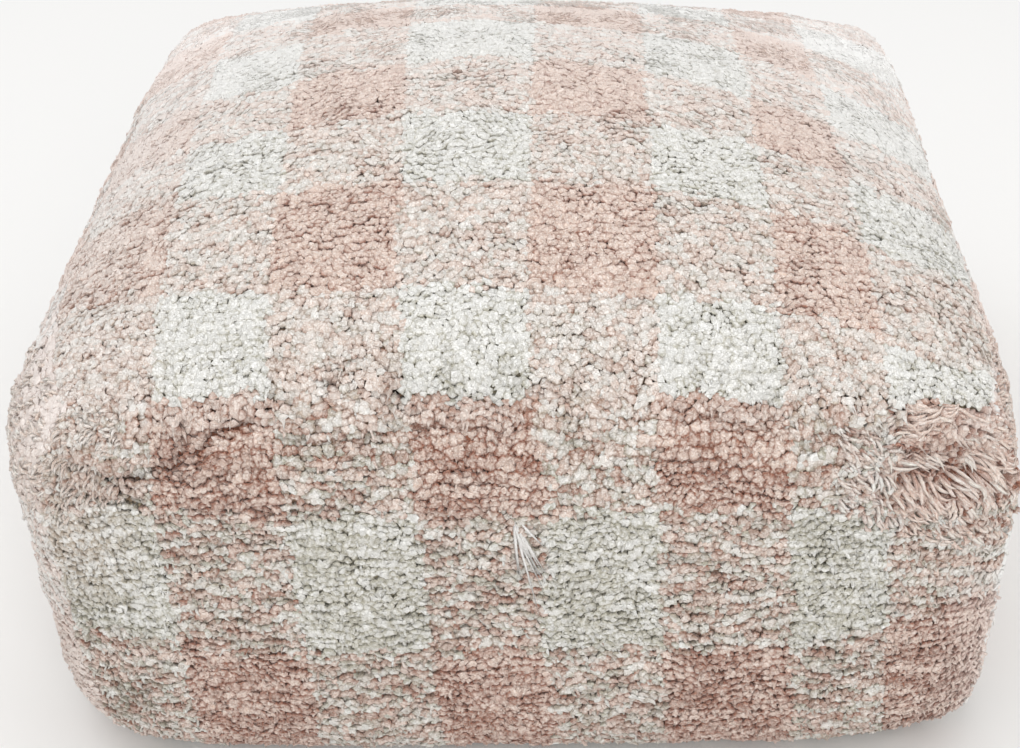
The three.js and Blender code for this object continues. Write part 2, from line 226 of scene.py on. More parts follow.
# The check: where each panel's stripes change, in millimetres of cloth from its middle, or up from the
# floor.
TOP_COLUMNS = (-172, -119, -57, 7, 66, 121.5, 171)
TOP_COLUMN_LEANS, LEAN_FROM = (-8, -7, -8, 0, 3, 0, -3), 0.5
TOP_ROWS = (-184.5, -116.5, -57.5, 3, 70, 132, 188)
ROW_BOW, BOW_REACH, BOW_LIMIT, BOW_GROWTH = 12, 0.55, 1.3, (1, -90, 90)
ROW_ENDS, ROW_ENDS_LIMIT, ROW_ENDS_POWER = 55, 0.82, 6
SIDE_COLUMNS = (-169, -112, -51.5, 8, 65.5, 123.5, 174)
SIDE_ROWS, ROW_RISES = (23.5, 105.5, 187.5), (8, 25)
FRONT_RISE, RISE_POWER, HIGH_RISE, SIDE_RISE = (1, 0.6, 0.38), 1.2, (15, 0.5, 0.48), 0.35
# How far whole tufts stray over a border.
BORDER_STRAY = ((3.0 * MM, 3.4 * MM), (1.8 * MM, 2.4 * MM))
# In the mixed cells each end has one of the two yarns, with some of the other.
MIX_BLEND, MIX_TUFT = ((0.0, 0.42), (0.15, 0.5)), (0.85, 0.45)
MIX_SQUEEZE, MIX_WAVE, MIX_UNEVEN = 0.4, (0.4, 9 * MM, 71), 0.25
BRIGHT_TUFT, BRIGHT_END = 0.025, 0.03

NATURAL_YARN, PINK_YARN = np.array((0.895, 0.89, 0.86)), np.array((0.845, 0.70, 0.615))
# The deep and ground colours are painted shade: the yarn darker and more saturated deep in the pile and
# between the ends.
NATURAL_DEEP, PINK_DEEP = np.array((0.50, 0.475, 0.385)), np.array((0.33, 0.14, 0.09))
NATURAL_GROUND, PINK_GROUND = np.array((0.50, 0.45, 0.32)), np.array((0.46, 0.20, 0.13))
# The pale colours paint the pile paler, and the haze colour is that of the painted haze: both a painted
# sheen.
PALE_YARN, PALE_DEEP = np.array((0.91, 0.865, 0.825)), np.array((0.66, 0.48, 0.39))
# The wisp's yarn is natural yarn painted lighter, and the locks' deep colour is painted shade.
WISP_YARN, LOCK_DEEP = np.array((0.96, 0.94, 0.92)), np.array((0.48, 0.21, 0.14))
PAINTED_HAZE_COLOUR, HAZE_SHARES, HAZE_LIMIT = np.array((0.81, 0.805, 0.825)), (0.5, 0.8), 0.85
# How light the rim of an end is beside another of its tuft, of its row and of another row; front, then
# others.
# The darker rims are painted shade in the gaps between ends.
RIM_TONES = ((0.78, 0.38, 0.08), (0.84, 0.6, 0.44))
LOOSE_RIM, RIM_SPREAD, RIM_WAVE, RIM_SHADE = 0.82, 0.08, (0.22, 7 * MM, 79), 0.5
RIM_LIMITS, LOOSE_ROOT_TONE, TIP_SHADE, MAP_SHIFTS = (0.02, 0.95), 0.45, 0.5, 400
# Shade: in patches and between bunches, for the front and the others, in creases and low on the front.
DEEP_PATCH, ROW_SHADE = (0.62, 0.2), (0.75, 0.3)
PATCH_SHADE, PATCH_MIDDLE, CREASE_DEEP, LOW_SHADE = (0.7, 9 * MM, 91), 0.25, 0.35, 0.3
# Painted haze, a painted sheen that makes the pile and its rims paler: over the top towards the back and the
# sides, at the front's right corner, and along the seams.
BACK_HAZE = (0.66, -90 * MM, 250 * MM)
ASIDE_HAZE, ASIDE_GROWTH = (0.3, 120 * MM, 100 * MM), (1, -170 * MM, 120 * MM)
CORNER_HAZE, CORNER_HAZE_GROWTH, CORNER_HAZE_HEIGHT = 0.4, (1, 0.82, 0.18), 0.6
FRONT_SEAM_HAZE, SIDE_HAZE, SIDE_SEAM_HAZE = (0.22, 10 * MM), 0.2, (0.4, 22 * MM)
RIGHT_HAZE = (0.65, 110 * MM, 60 * MM)
# Pile painted paler, a painted sheen and light: at the top's left edge, on the left side, at the front's left
# corner and its top seam.
TOP_PAINTED_PALE, TOP_PAINTED_PALE_GROWTH, TOP_PAINTED_PALE_LEAST = (0.5, 160 * MM, 45 * MM), (1, -100 * MM, 100 * MM), 0.3
LEFT_PAINTED_PALE, CORNER_PAINTED_PALE, CORNER_PAINTED_PALE_UP = (0.45, 90 * MM, 70 * MM), (0.45, 0.78, 0.17), (1, 0.5, 0.2)
SEAM_PAINTED_PALE = (0.42, 9 * MM)
# The share of natural yarn in the corner locks, and how much lighter they are painted, for the right and the
# left.
WHITE_LOCKS, WHITE_BUNDLES, LEFT_WHITE = 0.25, (0.25, 0.3), (0.1, 0.6)
WHITE_INSIDE, WHITE_INSIDE_SHARE, LOCK_LIGHT, LIGHT_LIMIT = 0.78, 0.3, {1: 1.14, -1: 1.1}, 0.97

# The studio: its floor and surround, and each lamp's place, target, size, power and colour.
FLOOR_SIZE, FLOOR_COLOUR, SURROUND_STRENGTH = 12, (0.84, 0.835, 0.825, 1), 0.82
LAMPS = {
    "overhead_lamp": ((-0.3, 0.25, 2.3), (0, 0, 0.2), 2.4, 17, (0.99, 0.995, 1.0)),
    "front_lamp": ((0.5, -2.6, 1.5), (0, 0, 0.15), 1.6, 25, (1.0, 0.975, 0.95)),
}
CAMERA_REACH = (0.05, 30)


def bell(distance, width):
    """A share that is 1 at no distance and fades away over the width."""
    return np.exp(-((distance / width) ** 2))


def grown(values, growth):
    """What the values make of a growth: nought up to its start, all of it past its span."""
    full, start, span = growth
    return full * np.clip((values - start) / span, 0, 1)


def corner_move(u, v):
    """How far the two front corners of the top are pulled out and down, at a place on the top panel."""
    moved = np.zeros(u.shape + (3,))
    for (side_x, side_y), (x, y, drop) in CORNERS.items():
        near = np.where((u * side_x > 0) & (v * side_y > 0), np.abs(u * v) ** CORNER_REACH, 0)
        moved += near[..., None] * np.array((x, y, -drop))
    return moved


def top_surface(u, v):
    """The top of the filled body at u and v, each from -1 to 1, left to right and front to back."""
    drawn = 1 - TOP_CORNER_PULL * np.abs(u * v) ** CORNER_SHARPNESS
    crowned = np.clip((1 - u**2) * (1 - v**2), 0, 1) ** (CROWN_FULLNESS / 2)
    height = SEAM_HEIGHT - CORNER_DROP * np.abs(u * v) ** 3 + SEAM_TILT * u
    height = height + CROWN * (1 + CROWN_SKEW * u) * crowned
    place = np.stack((HALF_SIDE * u * drawn + TOP_SHIFT, HALF_SIDE * v * drawn, height), -1)
    return place + corner_move(u, v) + RECENTRE


def route_distance(x, height, route):
    """How far a place of the front lies from a route, below nought under it."""
    nearest = np.full(x.shape, np.inf)
    for (x0, z0), (x1, z1) in zip(route[:-1], route[1:]):
        way_x, way_z = x1 - x0, z1 - z0
        along = ((x - x0) * way_x + (height - z0) * way_z) / (way_x**2 + way_z**2)
        along = np.clip(along, 0, 1)
        right, up = x - x0 - along * way_x, height - z0 - along * way_z
        above = np.where(up * way_x - right * way_z < 0, -1, 1)
        closer = np.hypot(right, up) < np.abs(nearest)
        nearest = np.where(closer, np.hypot(right, up) * above, nearest)
    return nearest


def crease_lines(x, height):
    """For each crease of the front: how far a place lies from it, below nought under it, and its size."""
    for depth, width, route in CREASES:
        yield route_distance(x, height, np.array(route) * MM), depth * MM, width * MM


def crease_depth(x, height):
    """How far the front is drawn in along its creases, at x and height."""
    depths = [depth * bell(away, width) for away, depth, width in crease_lines(x, height)]
    return np.max(depths, axis=0)


def side_surface(face, s, t, creased=True):
    """A side of the filled body at s, from -1 to 1 left to right as one faces it, and t, from 0 at the
    floor to 1 at the seam."""
    ones = np.ones(s.shape)
    u, v = ((s, -ones), (ones, s), (-s, ones), (-ones, -s))[face]
    under = np.clip(1 - t * SEAM_HEIGHT / ROLL_HEIGHT, 0, 1)
    roll = ROLL_DEPTH * (1 - np.sqrt(1 - under**2))
    pull = BASE_CORNER_PULL + (TOP_CORNER_PULL - BASE_CORNER_PULL) * t
    half = (HALF_SIDE - roll) * (1 - pull * np.abs(s) ** CORNER_SHARPNESS)
    half = half * (1 - BASE_TAPER * (1 - t))
    own, ends = SWELLS[face], np.abs(s) ** 3
    beside = np.where(s > 0, SWELLS[(face + 1) % 4], SWELLS[(face + 3) % 4])
    corner_swell = (own + beside) / 2 * (1 - SWELL_CORNER_LOSS)
    upright = 1 - np.abs(2 * t - 1) ** SWELL_FLATNESS
    out = (own * (1 - ends) + corner_swell * ends) * upright
    corner = np.sign(s) * out * np.abs(s) ** CORNER_SHARPNESS
    if face == FRONT and creased:
        fade = (1 - np.abs(s) ** CREASE_FADE) * (1 - t**CREASE_FADE)
        out = out - crease_depth(half * s, t * SEAM_HEIGHT) * fade
    if face == LEFT:
        shoulder = 2 * SHOULDER_SWELL * ends * (1 - np.abs(s) ** SHOULDER_REACH) * upright
        out = out + np.where(s > 0, shoulder, 0)
    height = t * (SEAM_HEIGHT - CORNER_DROP * ends + SEAM_TILT * u)
    along, away = half * s + corner, -half - out
    x, y = ((along, away), (-away, along), (-along, -away), (away, -along))[face]
    x = x + BASE_SHIFT * (1 - t) + TOP_SHIFT * t
    moved = corner_move(u, v) * (CORNER_BASE_SHARE + (1 - CORNER_BASE_SHARE) * t)[..., None]
    moved[..., 2] *= t
    return np.stack((x, y, height), -1) + moved + RECENTRE


def surface(panel, a, b, creased=True):
    return top_surface(a, b) if panel == TOP else side_surface(panel, a, b, creased)


def unit(ways):
    return ways / np.maximum(np.linalg.norm(ways, axis=-1, keepdims=True), 1e-9)


def tangents(panel, a, b):
    """The panel's own two directions at a place, along its rows and across them, without its creases."""
    step = TANGENT_STEP
    low = -1 if panel == TOP else 0
    a, b = np.clip(a, -1 + 2 * step, 1 - 2 * step), np.clip(b, low + 2 * step, 1 - 2 * step)
    along = surface(panel, a + step, b, False) - surface(panel, a - step, b, False)
    across = surface(panel, a, b + step, False) - surface(panel, a, b - step, False)
    return unit(along), unit(across)


def normal(panel, a, b):
    return unit(np.cross(*tangents(panel, a, b)))


def edges(panel, a, b):
    """For each sewn edge of the panel: the distance of a place from it, and the neighbour's normal there."""
    one = np.ones(a.shape)
    if panel == TOP:
        return (
            ((1 + b) * HALF_SIDE, normal(FRONT, a, one)),
            ((1 - a) * HALF_SIDE, normal(RIGHT, b, one)),
            ((1 - b) * HALF_SIDE, normal(BACK, -a, one)),
            ((1 + a) * HALF_SIDE, normal(LEFT, -b, one)),
        )
    u, v = ((a, -one), (one, a), (-a, one), (-one, -a))[panel]
    return (
        ((1 - b) * SEAM_HEIGHT, normal(TOP, u, v)),
        ((1 - a) * HALF_SIDE, normal((panel + 1) % 4, -one, b)),
        ((1 + a) * HALF_SIDE, normal((panel + 3) % 4, one, b)),
    )


def patch(x, height, middle_and_reach):
    """A soft round patch of the front, 1 in its middle and fading over its reach."""
    middle, reach = middle_and_reach
    return np.exp(-(((x - middle[0]) / reach[0]) ** 2) - ((height - middle[1]) / reach[1]) ** 2)


def all_waves(layers, places, start=0):
    """The sum of several waves at each place."""
    return sum((size * waves(places, wavelength, seed) for size, wavelength, seed in layers), start)


def seam_distance(panel, a, b):
    return np.min([distance for distance, _ in edges(panel, a, b)], axis=0)


def pile_length(panel, a, b, places):
    """How long the pile stands at a place: short in the seams, and a little uneven."""
    length = PILE * (1 - (1 - SEAM_PILE) * bell(seam_distance(panel, a, b), SEAM_CREASE))
    for middle, reach, change in PILE_CHANGES:
        away = (places - RECENTRE - np.array(middle) * MM) / (np.array(reach) * MM)
        length = length + change * MM * np.exp(-(away**2).sum(-1))
    length = length - FLOOR_CUT[0] * np.clip(1 - places[..., 2] / FLOOR_CUT[1], 0, 1)
    if panel == TOP:
        length = length - grown(b, TOP_EDGE_CUT)
        far = grown(b, FAR_GROWTH) * np.clip((1 - b) / FAR_SEAM, 0, 1)
        length = length - FAR_CUT * far * (1 - a**2)
    return length * all_waves(PILE_WAVES, places, 1)


def combed(panel, places):
    """How much the pile is combed at a place, from 0 to 1: only at the right front corner."""
    x, y, z = (places - RECENTRE).T
    return patch(x, z, COMB_PATCH) * grown(-y, CORNER_GROWTH) * (panel in (FRONT, RIGHT))


def lock_share(ends):
    """The share of the ends that carry a loose lock as well: most towards the sides of the front."""
    share = LOCKS_EVERYWHERE[ends.panel]
    if ends.panel in LOCKS_ASIDE:
        share = share + grown(np.abs(ends.x), LOCKS_ASIDE[ends.panel])
        if ends.panel == FRONT:
            share = share + grown(-ends.z, LOCKS_LOW)
        share = share + LOCKS_AT_SEAM * ends.near_seam
    else:
        share = share + grown(-ends.y, LOCKS_AHEAD)
    return share * (1 - ends.strong)


def ground_height(panel, a, b, places):
    """How high the dense lower pile stands: less in the creases and where the pile is combed."""
    height = GROUND * pile_length(panel, a, b, places) - COMB_HOLLOW * combed(panel, places)
    if panel == FRONT:
        place = places - RECENTRE
        for away, _, width in crease_lines(place[:, 0], place[:, 2]):
            height = height - CREASE_HOLLOW * bell(away, width)
    return np.maximum(height, LEAST_GROUND)


def pile_way(panel, a, b, fan=1.0):
    """The way that the pile stands: out of the panel, fanned over each seam, and level near the floor."""
    way = normal(panel, a, b)
    for distance, beside in edges(panel, a, b):
        way = way + beside * (fan * bell(distance, SEAM_FAN))[..., None]
    way = unit(way)
    height = surface(panel, a, b)[..., 2]
    level = np.clip(height / FLOOR_REACH, 0, 1)
    way[..., 2] = np.where(way[..., 2] < 0, way[..., 2] * level, way[..., 2])
    return unit(way)


def waves(places, wavelength, seed):
    """A smooth random number for each place, mostly from -1 to 1, that changes over the wavelength."""
    draw = np.random.default_rng(seed)
    ways = unit(draw.normal(size=(WAVE_COUNT, 3)))
    turns = ways * (2 * math.pi / (wavelength * draw.uniform(*WAVE_SPREAD, WAVE_COUNT)))[:, None]
    phase = draw.uniform(0, 2 * math.pi, WAVE_COUNT)
    return np.sin(places @ turns.T + phase).sum(-1) / math.sqrt(WAVE_COUNT / 2) * WAVE_SIZE


def cloth_lengths(panel, raised=0.0, count_a=181, count_b=121):
    """Lengths along and across the panel on a grid, from its middle, or up from the floor: of its cloth, or
    of the pile raised over it."""
    low = -1 if panel == TOP else 0
    a, b = np.linspace(-1, 1, count_a), np.linspace(low, 1, count_b)
    grid_a, grid_b = np.meshgrid(a, b)
    places = surface(panel, grid_a, grid_b)
    if raised:
        places = places + pile_way(panel, grid_a, grid_b, CLOTH_FAN) * raised
    along = np.zeros(grid_a.shape)
    along[:, 1:] = np.cumsum(np.linalg.norm(np.diff(places, axis=1), axis=-1), axis=1)
    along -= along[:, count_a // 2][:, None]
    across = np.zeros(grid_a.shape)
    across[1:] = np.cumsum(np.linalg.norm(np.diff(places, axis=0), axis=-1), axis=0)
    if panel == TOP:
        across -= across[count_b // 2]
    return a, b, along, across


def read_grid(grid, a_values, b_values, a, b):
    """The grid's value at each a and b, by straight lines between its points."""
    column = np.clip(np.interp(a, a_values, np.arange(len(a_values))), 0, len(a_values) - 1.001)
    row = np.clip(np.interp(b, b_values, np.arange(len(b_values))), 0, len(b_values) - 1.001)
    i, j = row.astype(int), column.astype(int)
    di, dj = row - i, column - j
    low = grid[i, j] * (1 - dj) + grid[i, j + 1] * dj
    high = grid[i + 1, j] * (1 - dj) + grid[i + 1, j + 1] * dj
    return low * (1 - di) + high * di


def pink_share(panel, a, b, along, across):
    """The share of pink yarn at a place: none, half or all of it."""
    p, q = along / MM, across / MM
    if panel == TOP:
        bow = ROW_BOW * np.minimum((a / BOW_REACH) ** 2, BOW_LIMIT) * grown(q, BOW_GROWTH)
        ends = ROW_ENDS * np.sign(a) * np.minimum(np.abs(a), ROW_ENDS_LIMIT) ** ROW_ENDS_POWER
        rows = np.searchsorted(TOP_ROWS, (q + bow + ends).ravel()).reshape(q.shape)
        leans = np.interp(p, TOP_COLUMNS, TOP_COLUMN_LEANS) * (b + LEAN_FROM)
        columns = np.searchsorted(TOP_COLUMNS, (p - leans).ravel()).reshape(q.shape)
        return ((rows % 2 == 1) * 1.0 + (columns % 2 == 0)) / 2
    if panel == FRONT:
        rise = grown(np.abs(a), FRONT_RISE) ** RISE_POWER
        high_rise = grown(-a, HIGH_RISE)
    else:
        rise = np.clip(1 - (1 + a * {RIGHT: 1, BACK: 0, LEFT: -1}[panel]) / SIDE_RISE, 0, 1)
        high_rise = HIGH_RISE[0] * rise * (panel == LEFT)
    rises = (ROW_RISES[0] * rise, ROW_RISES[1] * rise, high_rise)
    rows = sum((q > border + up).astype(int) for border, up in zip(SIDE_ROWS, rises))
    columns = np.searchsorted(SIDE_COLUMNS, p.ravel()).reshape(q.shape)
    return ((rows % 2 == 1) * 1.0 + (columns % 2 == 1)) / 2


def cloth_place(panel, a, b):
    """The lengths of cloth to a place of the panel, along its rows and across them."""
    a_values, b_values, along, across = cloth_lengths(panel)
    return (read_grid(grid, a_values, b_values, a, b) for grid in (along, across))


def bunch_border(lengths, wavelength, seed):
    """The signed distance of each place from the nearest border between two bunches of rows."""
    draw = np.random.default_rng(seed)
    borders = np.cumsum(draw.uniform(*BUNCH_SIZES, BUNCH_COUNT)) * wavelength
    borders -= borders.mean()
    n = np.clip(np.searchsorted(borders, lengths), 1, len(borders) - 1)
    before, after = lengths - borders[n - 1], lengths - borders[n]
    return np.where(before < -after, before, after)


def tuft_borders(p, q, pitch, straight, seed):
    """For each place: its distance from the nearest border between two tufts, the way off that border, the
    tuft's own number and its row."""
    cell = np.stack((np.floor(p / pitch), np.floor(q / pitch)), -1).astype(int)
    draw = np.random.default_rng(seed)
    across = draw.uniform(0.5 - straight, 0.5 + straight, (TUFT_TABLE, TUFT_TABLE))
    shifts = np.stack((draw.uniform(*TUFT_PLACES, (TUFT_TABLE, TUFT_TABLE)), across), -1)
    ways, own, rows_of = [], [], []
    for di in (-1, 0, 1):
        for dj in (-1, 0, 1):
            i, j = cell[:, 0] + di, cell[:, 1] + dj
            shift = shifts[i % TUFT_TABLE, j % TUFT_TABLE]
            ways.append(np.stack(((i + shift[:, 0]) * pitch - p, (j + shift[:, 1]) * pitch - q), -1))
            own.append((i + 500) * 1000 + j + 500)
            rows_of.append(j)
    ways, own, rows_of = np.array(ways), np.array(own), np.array(rows_of)
    order = np.argsort(np.linalg.norm(ways, axis=-1), axis=0)
    rows = np.arange(len(p))
    nearest, second = ways[order[0], rows], ways[order[1], rows]
    between = nearest - second
    apart = np.maximum(np.linalg.norm(between, axis=-1), TINY)
    distance = ((second**2).sum(-1) - (nearest**2).sum(-1)) / (2 * apart)
    return distance, between / apart[:, None], own[order[0], rows], rows_of[order[0], rows]


def end_places(panel):
    """The place of each cotton end of the panel as a and b, evenly spread over the pile's own surface."""
    draw = np.random.default_rng(100 + panel)
    a_values, b_values, along, across = cloth_lengths(panel, PILE)
    pitch = END_PITCH[panel]
    middle = across[:, len(a_values) // 2]
    span = (b_values[-1] - b_values[0]) / (middle[-1] - middle[0])
    rows = int((middle[-1] - middle[0] - 2 * SEAM_INSET) / (END_ROWS * pitch))
    found = []
    for n, row_length in enumerate(np.linspace(middle[0] + SEAM_INSET, middle[-1] - SEAM_INSET, rows + 1)):
        b = np.interp(row_length, middle, b_values)
        row = read_grid(along, a_values, b_values, a_values, np.full(len(a_values), b))
        count = int((row[-1] - row[0] - 2 * SEAM_INSET) / pitch)
        share = np.linspace(0, 1, count + 1)
        share = share + END_CROWDING.get(panel, 0) * (share**2 - share)
        lengths = row[0] + SEAM_INSET + (row[-1] - row[0] - 2 * SEAM_INSET) * share
        lengths = lengths + (END_STAGGER if n % 2 else -END_STAGGER) * pitch
        lengths = lengths + draw.normal(0, END_STRAY * pitch, count + 1)
        row_b = b + draw.normal(0, END_STRAY * pitch, count + 1) * span
        found.append(np.stack((np.interp(lengths, row, a_values), row_b), -1))
    a, b = np.concatenate(found).T
    low = -1 if panel == TOP else 0
    return np.clip(a, EDGE - 1, 1 - EDGE), np.clip(b, low + EDGE, 1 - EDGE)


def ends_of(panel):
    """The cotton ends of a panel: the place, ways and pile of each, and the lengths of cloth to it."""
    a, b = end_places(panel)
    p, q = cloth_place(panel, a, b)
    base = surface(panel, a, b)
    along_way, across_way = tangents(panel, a, b)
    x, y, z = (base - RECENTRE).T
    return SimpleNamespace(
        panel=panel, top=panel == TOP, a=a, b=b, base=base, x=x, y=y, z=z, count=len(a),
        along_way=along_way, across_way=across_way, way=pile_way(panel, a, b, PILE_FAN),
        length=pile_length(panel, a, b, base), wander=all_waves(WANDER, base), p=p, q=q,
    )


def lean_together(ends):
    """Give neighbours a lean that they share, in millimetres, and let bunches of them part."""
    ends.lean_along, ends.lean_across = (all_waves(layers, ends.base) for layers in LEAN_WAVES)
    if not ends.top:
        ends.lean_across = ends.lean_across - HANG
    ends.parted = np.zeros(ends.count)
    pushes = []
    least, more, wavelength = BUNCH_STRENGTH
    for lengths, seed in zip((ends.p, ends.q), BUNCH_SEEDS):
        border = bunch_border(lengths + ends.wander, BUNCH, seed + ends.panel) / MM
        strength = np.clip(least + more * waves(ends.base, wavelength, seed), 0, 1)
        near = strength * bell(border, BUNCH_REACH)
        ends.parted = np.maximum(ends.parted, near)
        pushes.append(BUNCH_PUSH * np.sign(border) * near)
    ends.lean_along = ends.lean_along + pushes[0]
    ends.lean_across = ends.lean_across + pushes[1]
    ends.row_shade = ROW_SHADE[ends.panel != FRONT] * near


def gather_tufts(ends, draw):
    """Keep the ends of one tuft together, and lower at its border with the next tuft."""
    border, off, ends.tuft, ends.tuft_row = tuft_borders(
        ends.p + ends.wander, ends.q + ends.wander, TUFT_PITCH, ROW_JITTER[ends.top], 51 + ends.panel
    )
    ends.number = np.sin(ends.tuft * HEIGHT_TURN + ends.panel)
    push = TUFT_HOLD * np.clip(0.5 * END_PITCH[ends.panel] - border, 0, None) / MM
    ends.lean_along = ends.lean_along + push * off[:, 0]
    ends.lean_across = ends.lean_across + push * off[:, 1]
    flat, steep = CROWN_SHARES
    crown = TUFT_CROWN[ends.top] * (flat + steep * np.abs(off[:, 1]))
    drop = crown * np.clip(1 - border / (TUFT_EDGE * TUFT_PITCH), 0, 1) ** 2 + BUNCH_DROP * ends.parted
    ends.behind = grown(ends.base[:, 1], BACK_GROWTH) * ends.top
    calm = 1 - (1 - CALM_AT_BACK) * ends.behind
    own = draw.normal(0, END_UNEVEN[ends.top], ends.count)
    ends.length = ends.length + (TUFT_UNEVEN * ends.number - drop + own) * calm * MM


def cross_borders(ends, draw):
    """Let whole tufts stray over the check's borders, and the pile lean to and fro over the front seam."""
    strays = [BORDER_STRAY[ends.top][n] * np.sin(ends.tuft * STRAY_TURNS[n]) for n in (0, 1)]
    across = np.maximum(ends.q + strays[1], ends.q.min())
    ends.share = pink_share(ends.panel, ends.a, ends.b, ends.p + strays[0], across)
    ends.near_seam = np.zeros(ends.count)
    if ends.panel in (FRONT, TOP):
        from_seam = (1 - ends.b if ends.panel == FRONT else 1 + ends.b) * HALF_SIDE
        ends.near_seam = bell(from_seam, SEAM_REACH)
        sway = all_waves(SEAM_WAVES, ends.base * (1, 0, 0)) + draw.normal(0, SEAM_UNEVEN, ends.count)
        ends.lean_across = ends.lean_across - SEAM_LEAN * ends.near_seam * sway


def camera_stand():
    """Where the camera stands, and its ways to the right, up and ahead."""
    pitch, yaw, roll = (math.radians(turn) for turn in (PITCH, YAW, ROLL))
    ahead = np.array((math.sin(yaw) * math.cos(pitch), math.cos(yaw) * math.cos(pitch), -math.sin(pitch)))
    stand = np.array((RECENTRE[0], RECENTRE[1], TARGET_HEIGHT)) - ahead * DISTANCE
    level_right = unit(np.cross(ahead, (0, 0, 1)))
    level_up = np.cross(level_right, ahead)
    right = level_right * math.cos(roll) + level_up * math.sin(roll)
    up = level_up * math.cos(roll) - level_right * math.sin(roll)
    return stand, right, up, ahead


def parting_routes():
    """How strong each parting is, and its route on the front in x and height: each point is the place
    whose pile shows nearest to the point that was picked in the photo, to the millimetre."""
    stand, right, up, ahead = camera_stand()
    a, b = np.meshgrid(np.linspace(-1, 1, PHOTO_STEPS), np.linspace(0, 1, PHOTO_STEPS))
    base = surface(FRONT, a, b).reshape(-1, 3)
    away = base + pile_way(FRONT, a, b, PILE_FAN).reshape(-1, 3) * PHOTO_PILE - stand
    scale = LENS / SENSOR * WIDTH / (away @ ahead)
    across, down = CENTRE_X + (away @ right) * scale, CENTRE_Y - (away @ up) * scale
    places = np.round((base - RECENTRE) / MM)[:, [0, 2]] * MM
    for strength, points in PARTINGS:
        yield strength, places[[np.argmin((across - x) ** 2 + (down - y) ** 2) for x, y in points]]


def fold_front(ends):
    """Hang the front's pile over its creases and partings, and shorten it in them and under them."""
    ends.crease_shade = np.zeros(ends.count)
    if ends.panel != FRONT:
        return
    for away, _, width in crease_lines(ends.x, ends.z):
        over = bell(away, OVER_WIDTH * width) * (away > 0)
        under = bell(away, UNDER_WIDTH * width) * (away <= 0)
        ends.lean_across = ends.lean_across - OVERHANG * over
        ends.length = ends.length + OVER_LENGTH * over - UNDERCUT * under
        cut = bell(away, CREASE_CUT_WIDTH)
        ends.length = ends.length - CREASE_CUT * cut
        ends.crease_shade = np.maximum(ends.crease_shade, CREASE_SHADE * cut)
    unsteady = all_waves((PARTING_WAVE,), ends.base)
    lip, lip_place, lip_width = PARTING_LIP
    for strength, route in parting_routes():
        away = route_distance(ends.x, ends.z, route) + unsteady
        near = strength * bell(away, PARTING_WIDTH)
        over = strength * bell(away - lip_place, lip_width)
        ends.length = ends.length - PARTING_CUT * near + lip * over
        ends.lean_across = ends.lean_across - PARTING_LEAN * over
        ends.crease_shade = np.maximum(ends.crease_shade, PARTING_SHADE * near)


def comb_corner(ends):
    """Comb the pile of the right front corner to the right and down."""
    uneven = np.clip(all_waves((COMB_WAVE,), ends.base, COMB_MIDDLE), 0, COMB_LIMIT)
    comb = combed(ends.panel, ends.base) * uneven
    swirls = [all_waves(layers, ends.base) for layers in SWIRL_WAVES]
    upper = np.clip((ends.base[:, 2] - COMB_TURN_HEIGHT) / COMB_TURN_REACH, -1, 1)
    ends.strong = np.clip(comb * COMB_GAIN, 0, 1)
    beside = COMB[0] if ends.panel == FRONT else COMB_BESIDE * COMB[0]
    ends.lean_along = ends.lean_along + beside * comb + swirls[0] * ends.strong
    turned = (COMB_TURN * upper + swirls[1]) * ends.strong
    ends.lean_across = ends.lean_across - COMB[1] * comb + turned
    ends.length = ends.length - COMB_CUT * comb


def stand_up(ends, draw):
    """The root, bend and tip of each end, followed by those of the loose locks, slim and pointed, that lie
    over their neighbours; and for each of them the end that it belongs to."""
    shared = (ends.lean_along, ends.lean_across)
    leans = [lean + draw.normal(0, END_LEAN_SPREAD, ends.count) for lean in shared]
    lean = (ends.along_way * leans[0][:, None] + ends.across_way * leans[1][:, None]) * MM
    loose = np.flatnonzero(draw.random(ends.count) < lock_share(ends))
    swept = ends.strong[loose][:, None]
    spread = draw.normal(0, LOCK_SPREAD, (len(loose), 2)) * (1 - SWEPT_CALM * swept)
    lie = np.array(LOCK_LEANS[ends.top]) + spread
    lie = lie - ends.top * ends.near_seam[loose, None] * np.array(SEAM_LOCK_LEAN)
    lie = lie * draw.uniform(*LEAN_FACTORS, (len(loose), 1)) * MM
    chosen = np.concatenate((np.arange(ends.count), loose))
    is_loose = np.arange(len(chosen)) >= ends.count
    base, way, length, lean = ends.base[chosen], ends.way[chosen], ends.length[chosen], lean[chosen]
    lean[is_loose] *= 1 + SWEPT_LEAN * swept
    lean[is_loose] += ends.along_way[loose] * lie[:, :1] + ends.across_way[loose] * lie[:, 1:]
    rise = is_loose * LOCK_RISE
    root = base + way * (np.where(is_loose, LOCK_ROOT_SHARE, ROOT_SHARE) * length)[:, None]
    tip = base + way * (length - LOCK_TIP_DROP * rise)[:, None] + lean
    bend = root * BEND_SHARES[0] + tip * BEND_SHARES[1] + way * BEND_RISE - lean * BEND_LAG
    bend[is_loose] = (base + way * (length + rise)[:, None] + lean * LOCK_BEND_LEAN)[is_loose]
    for places in (root, bend, tip):
        places[..., 2] = np.maximum(places[..., 2], LEAST_HEIGHT)
    return dict(root=root, bend=bend, tip=tip, loose=is_loose), chosen, loose


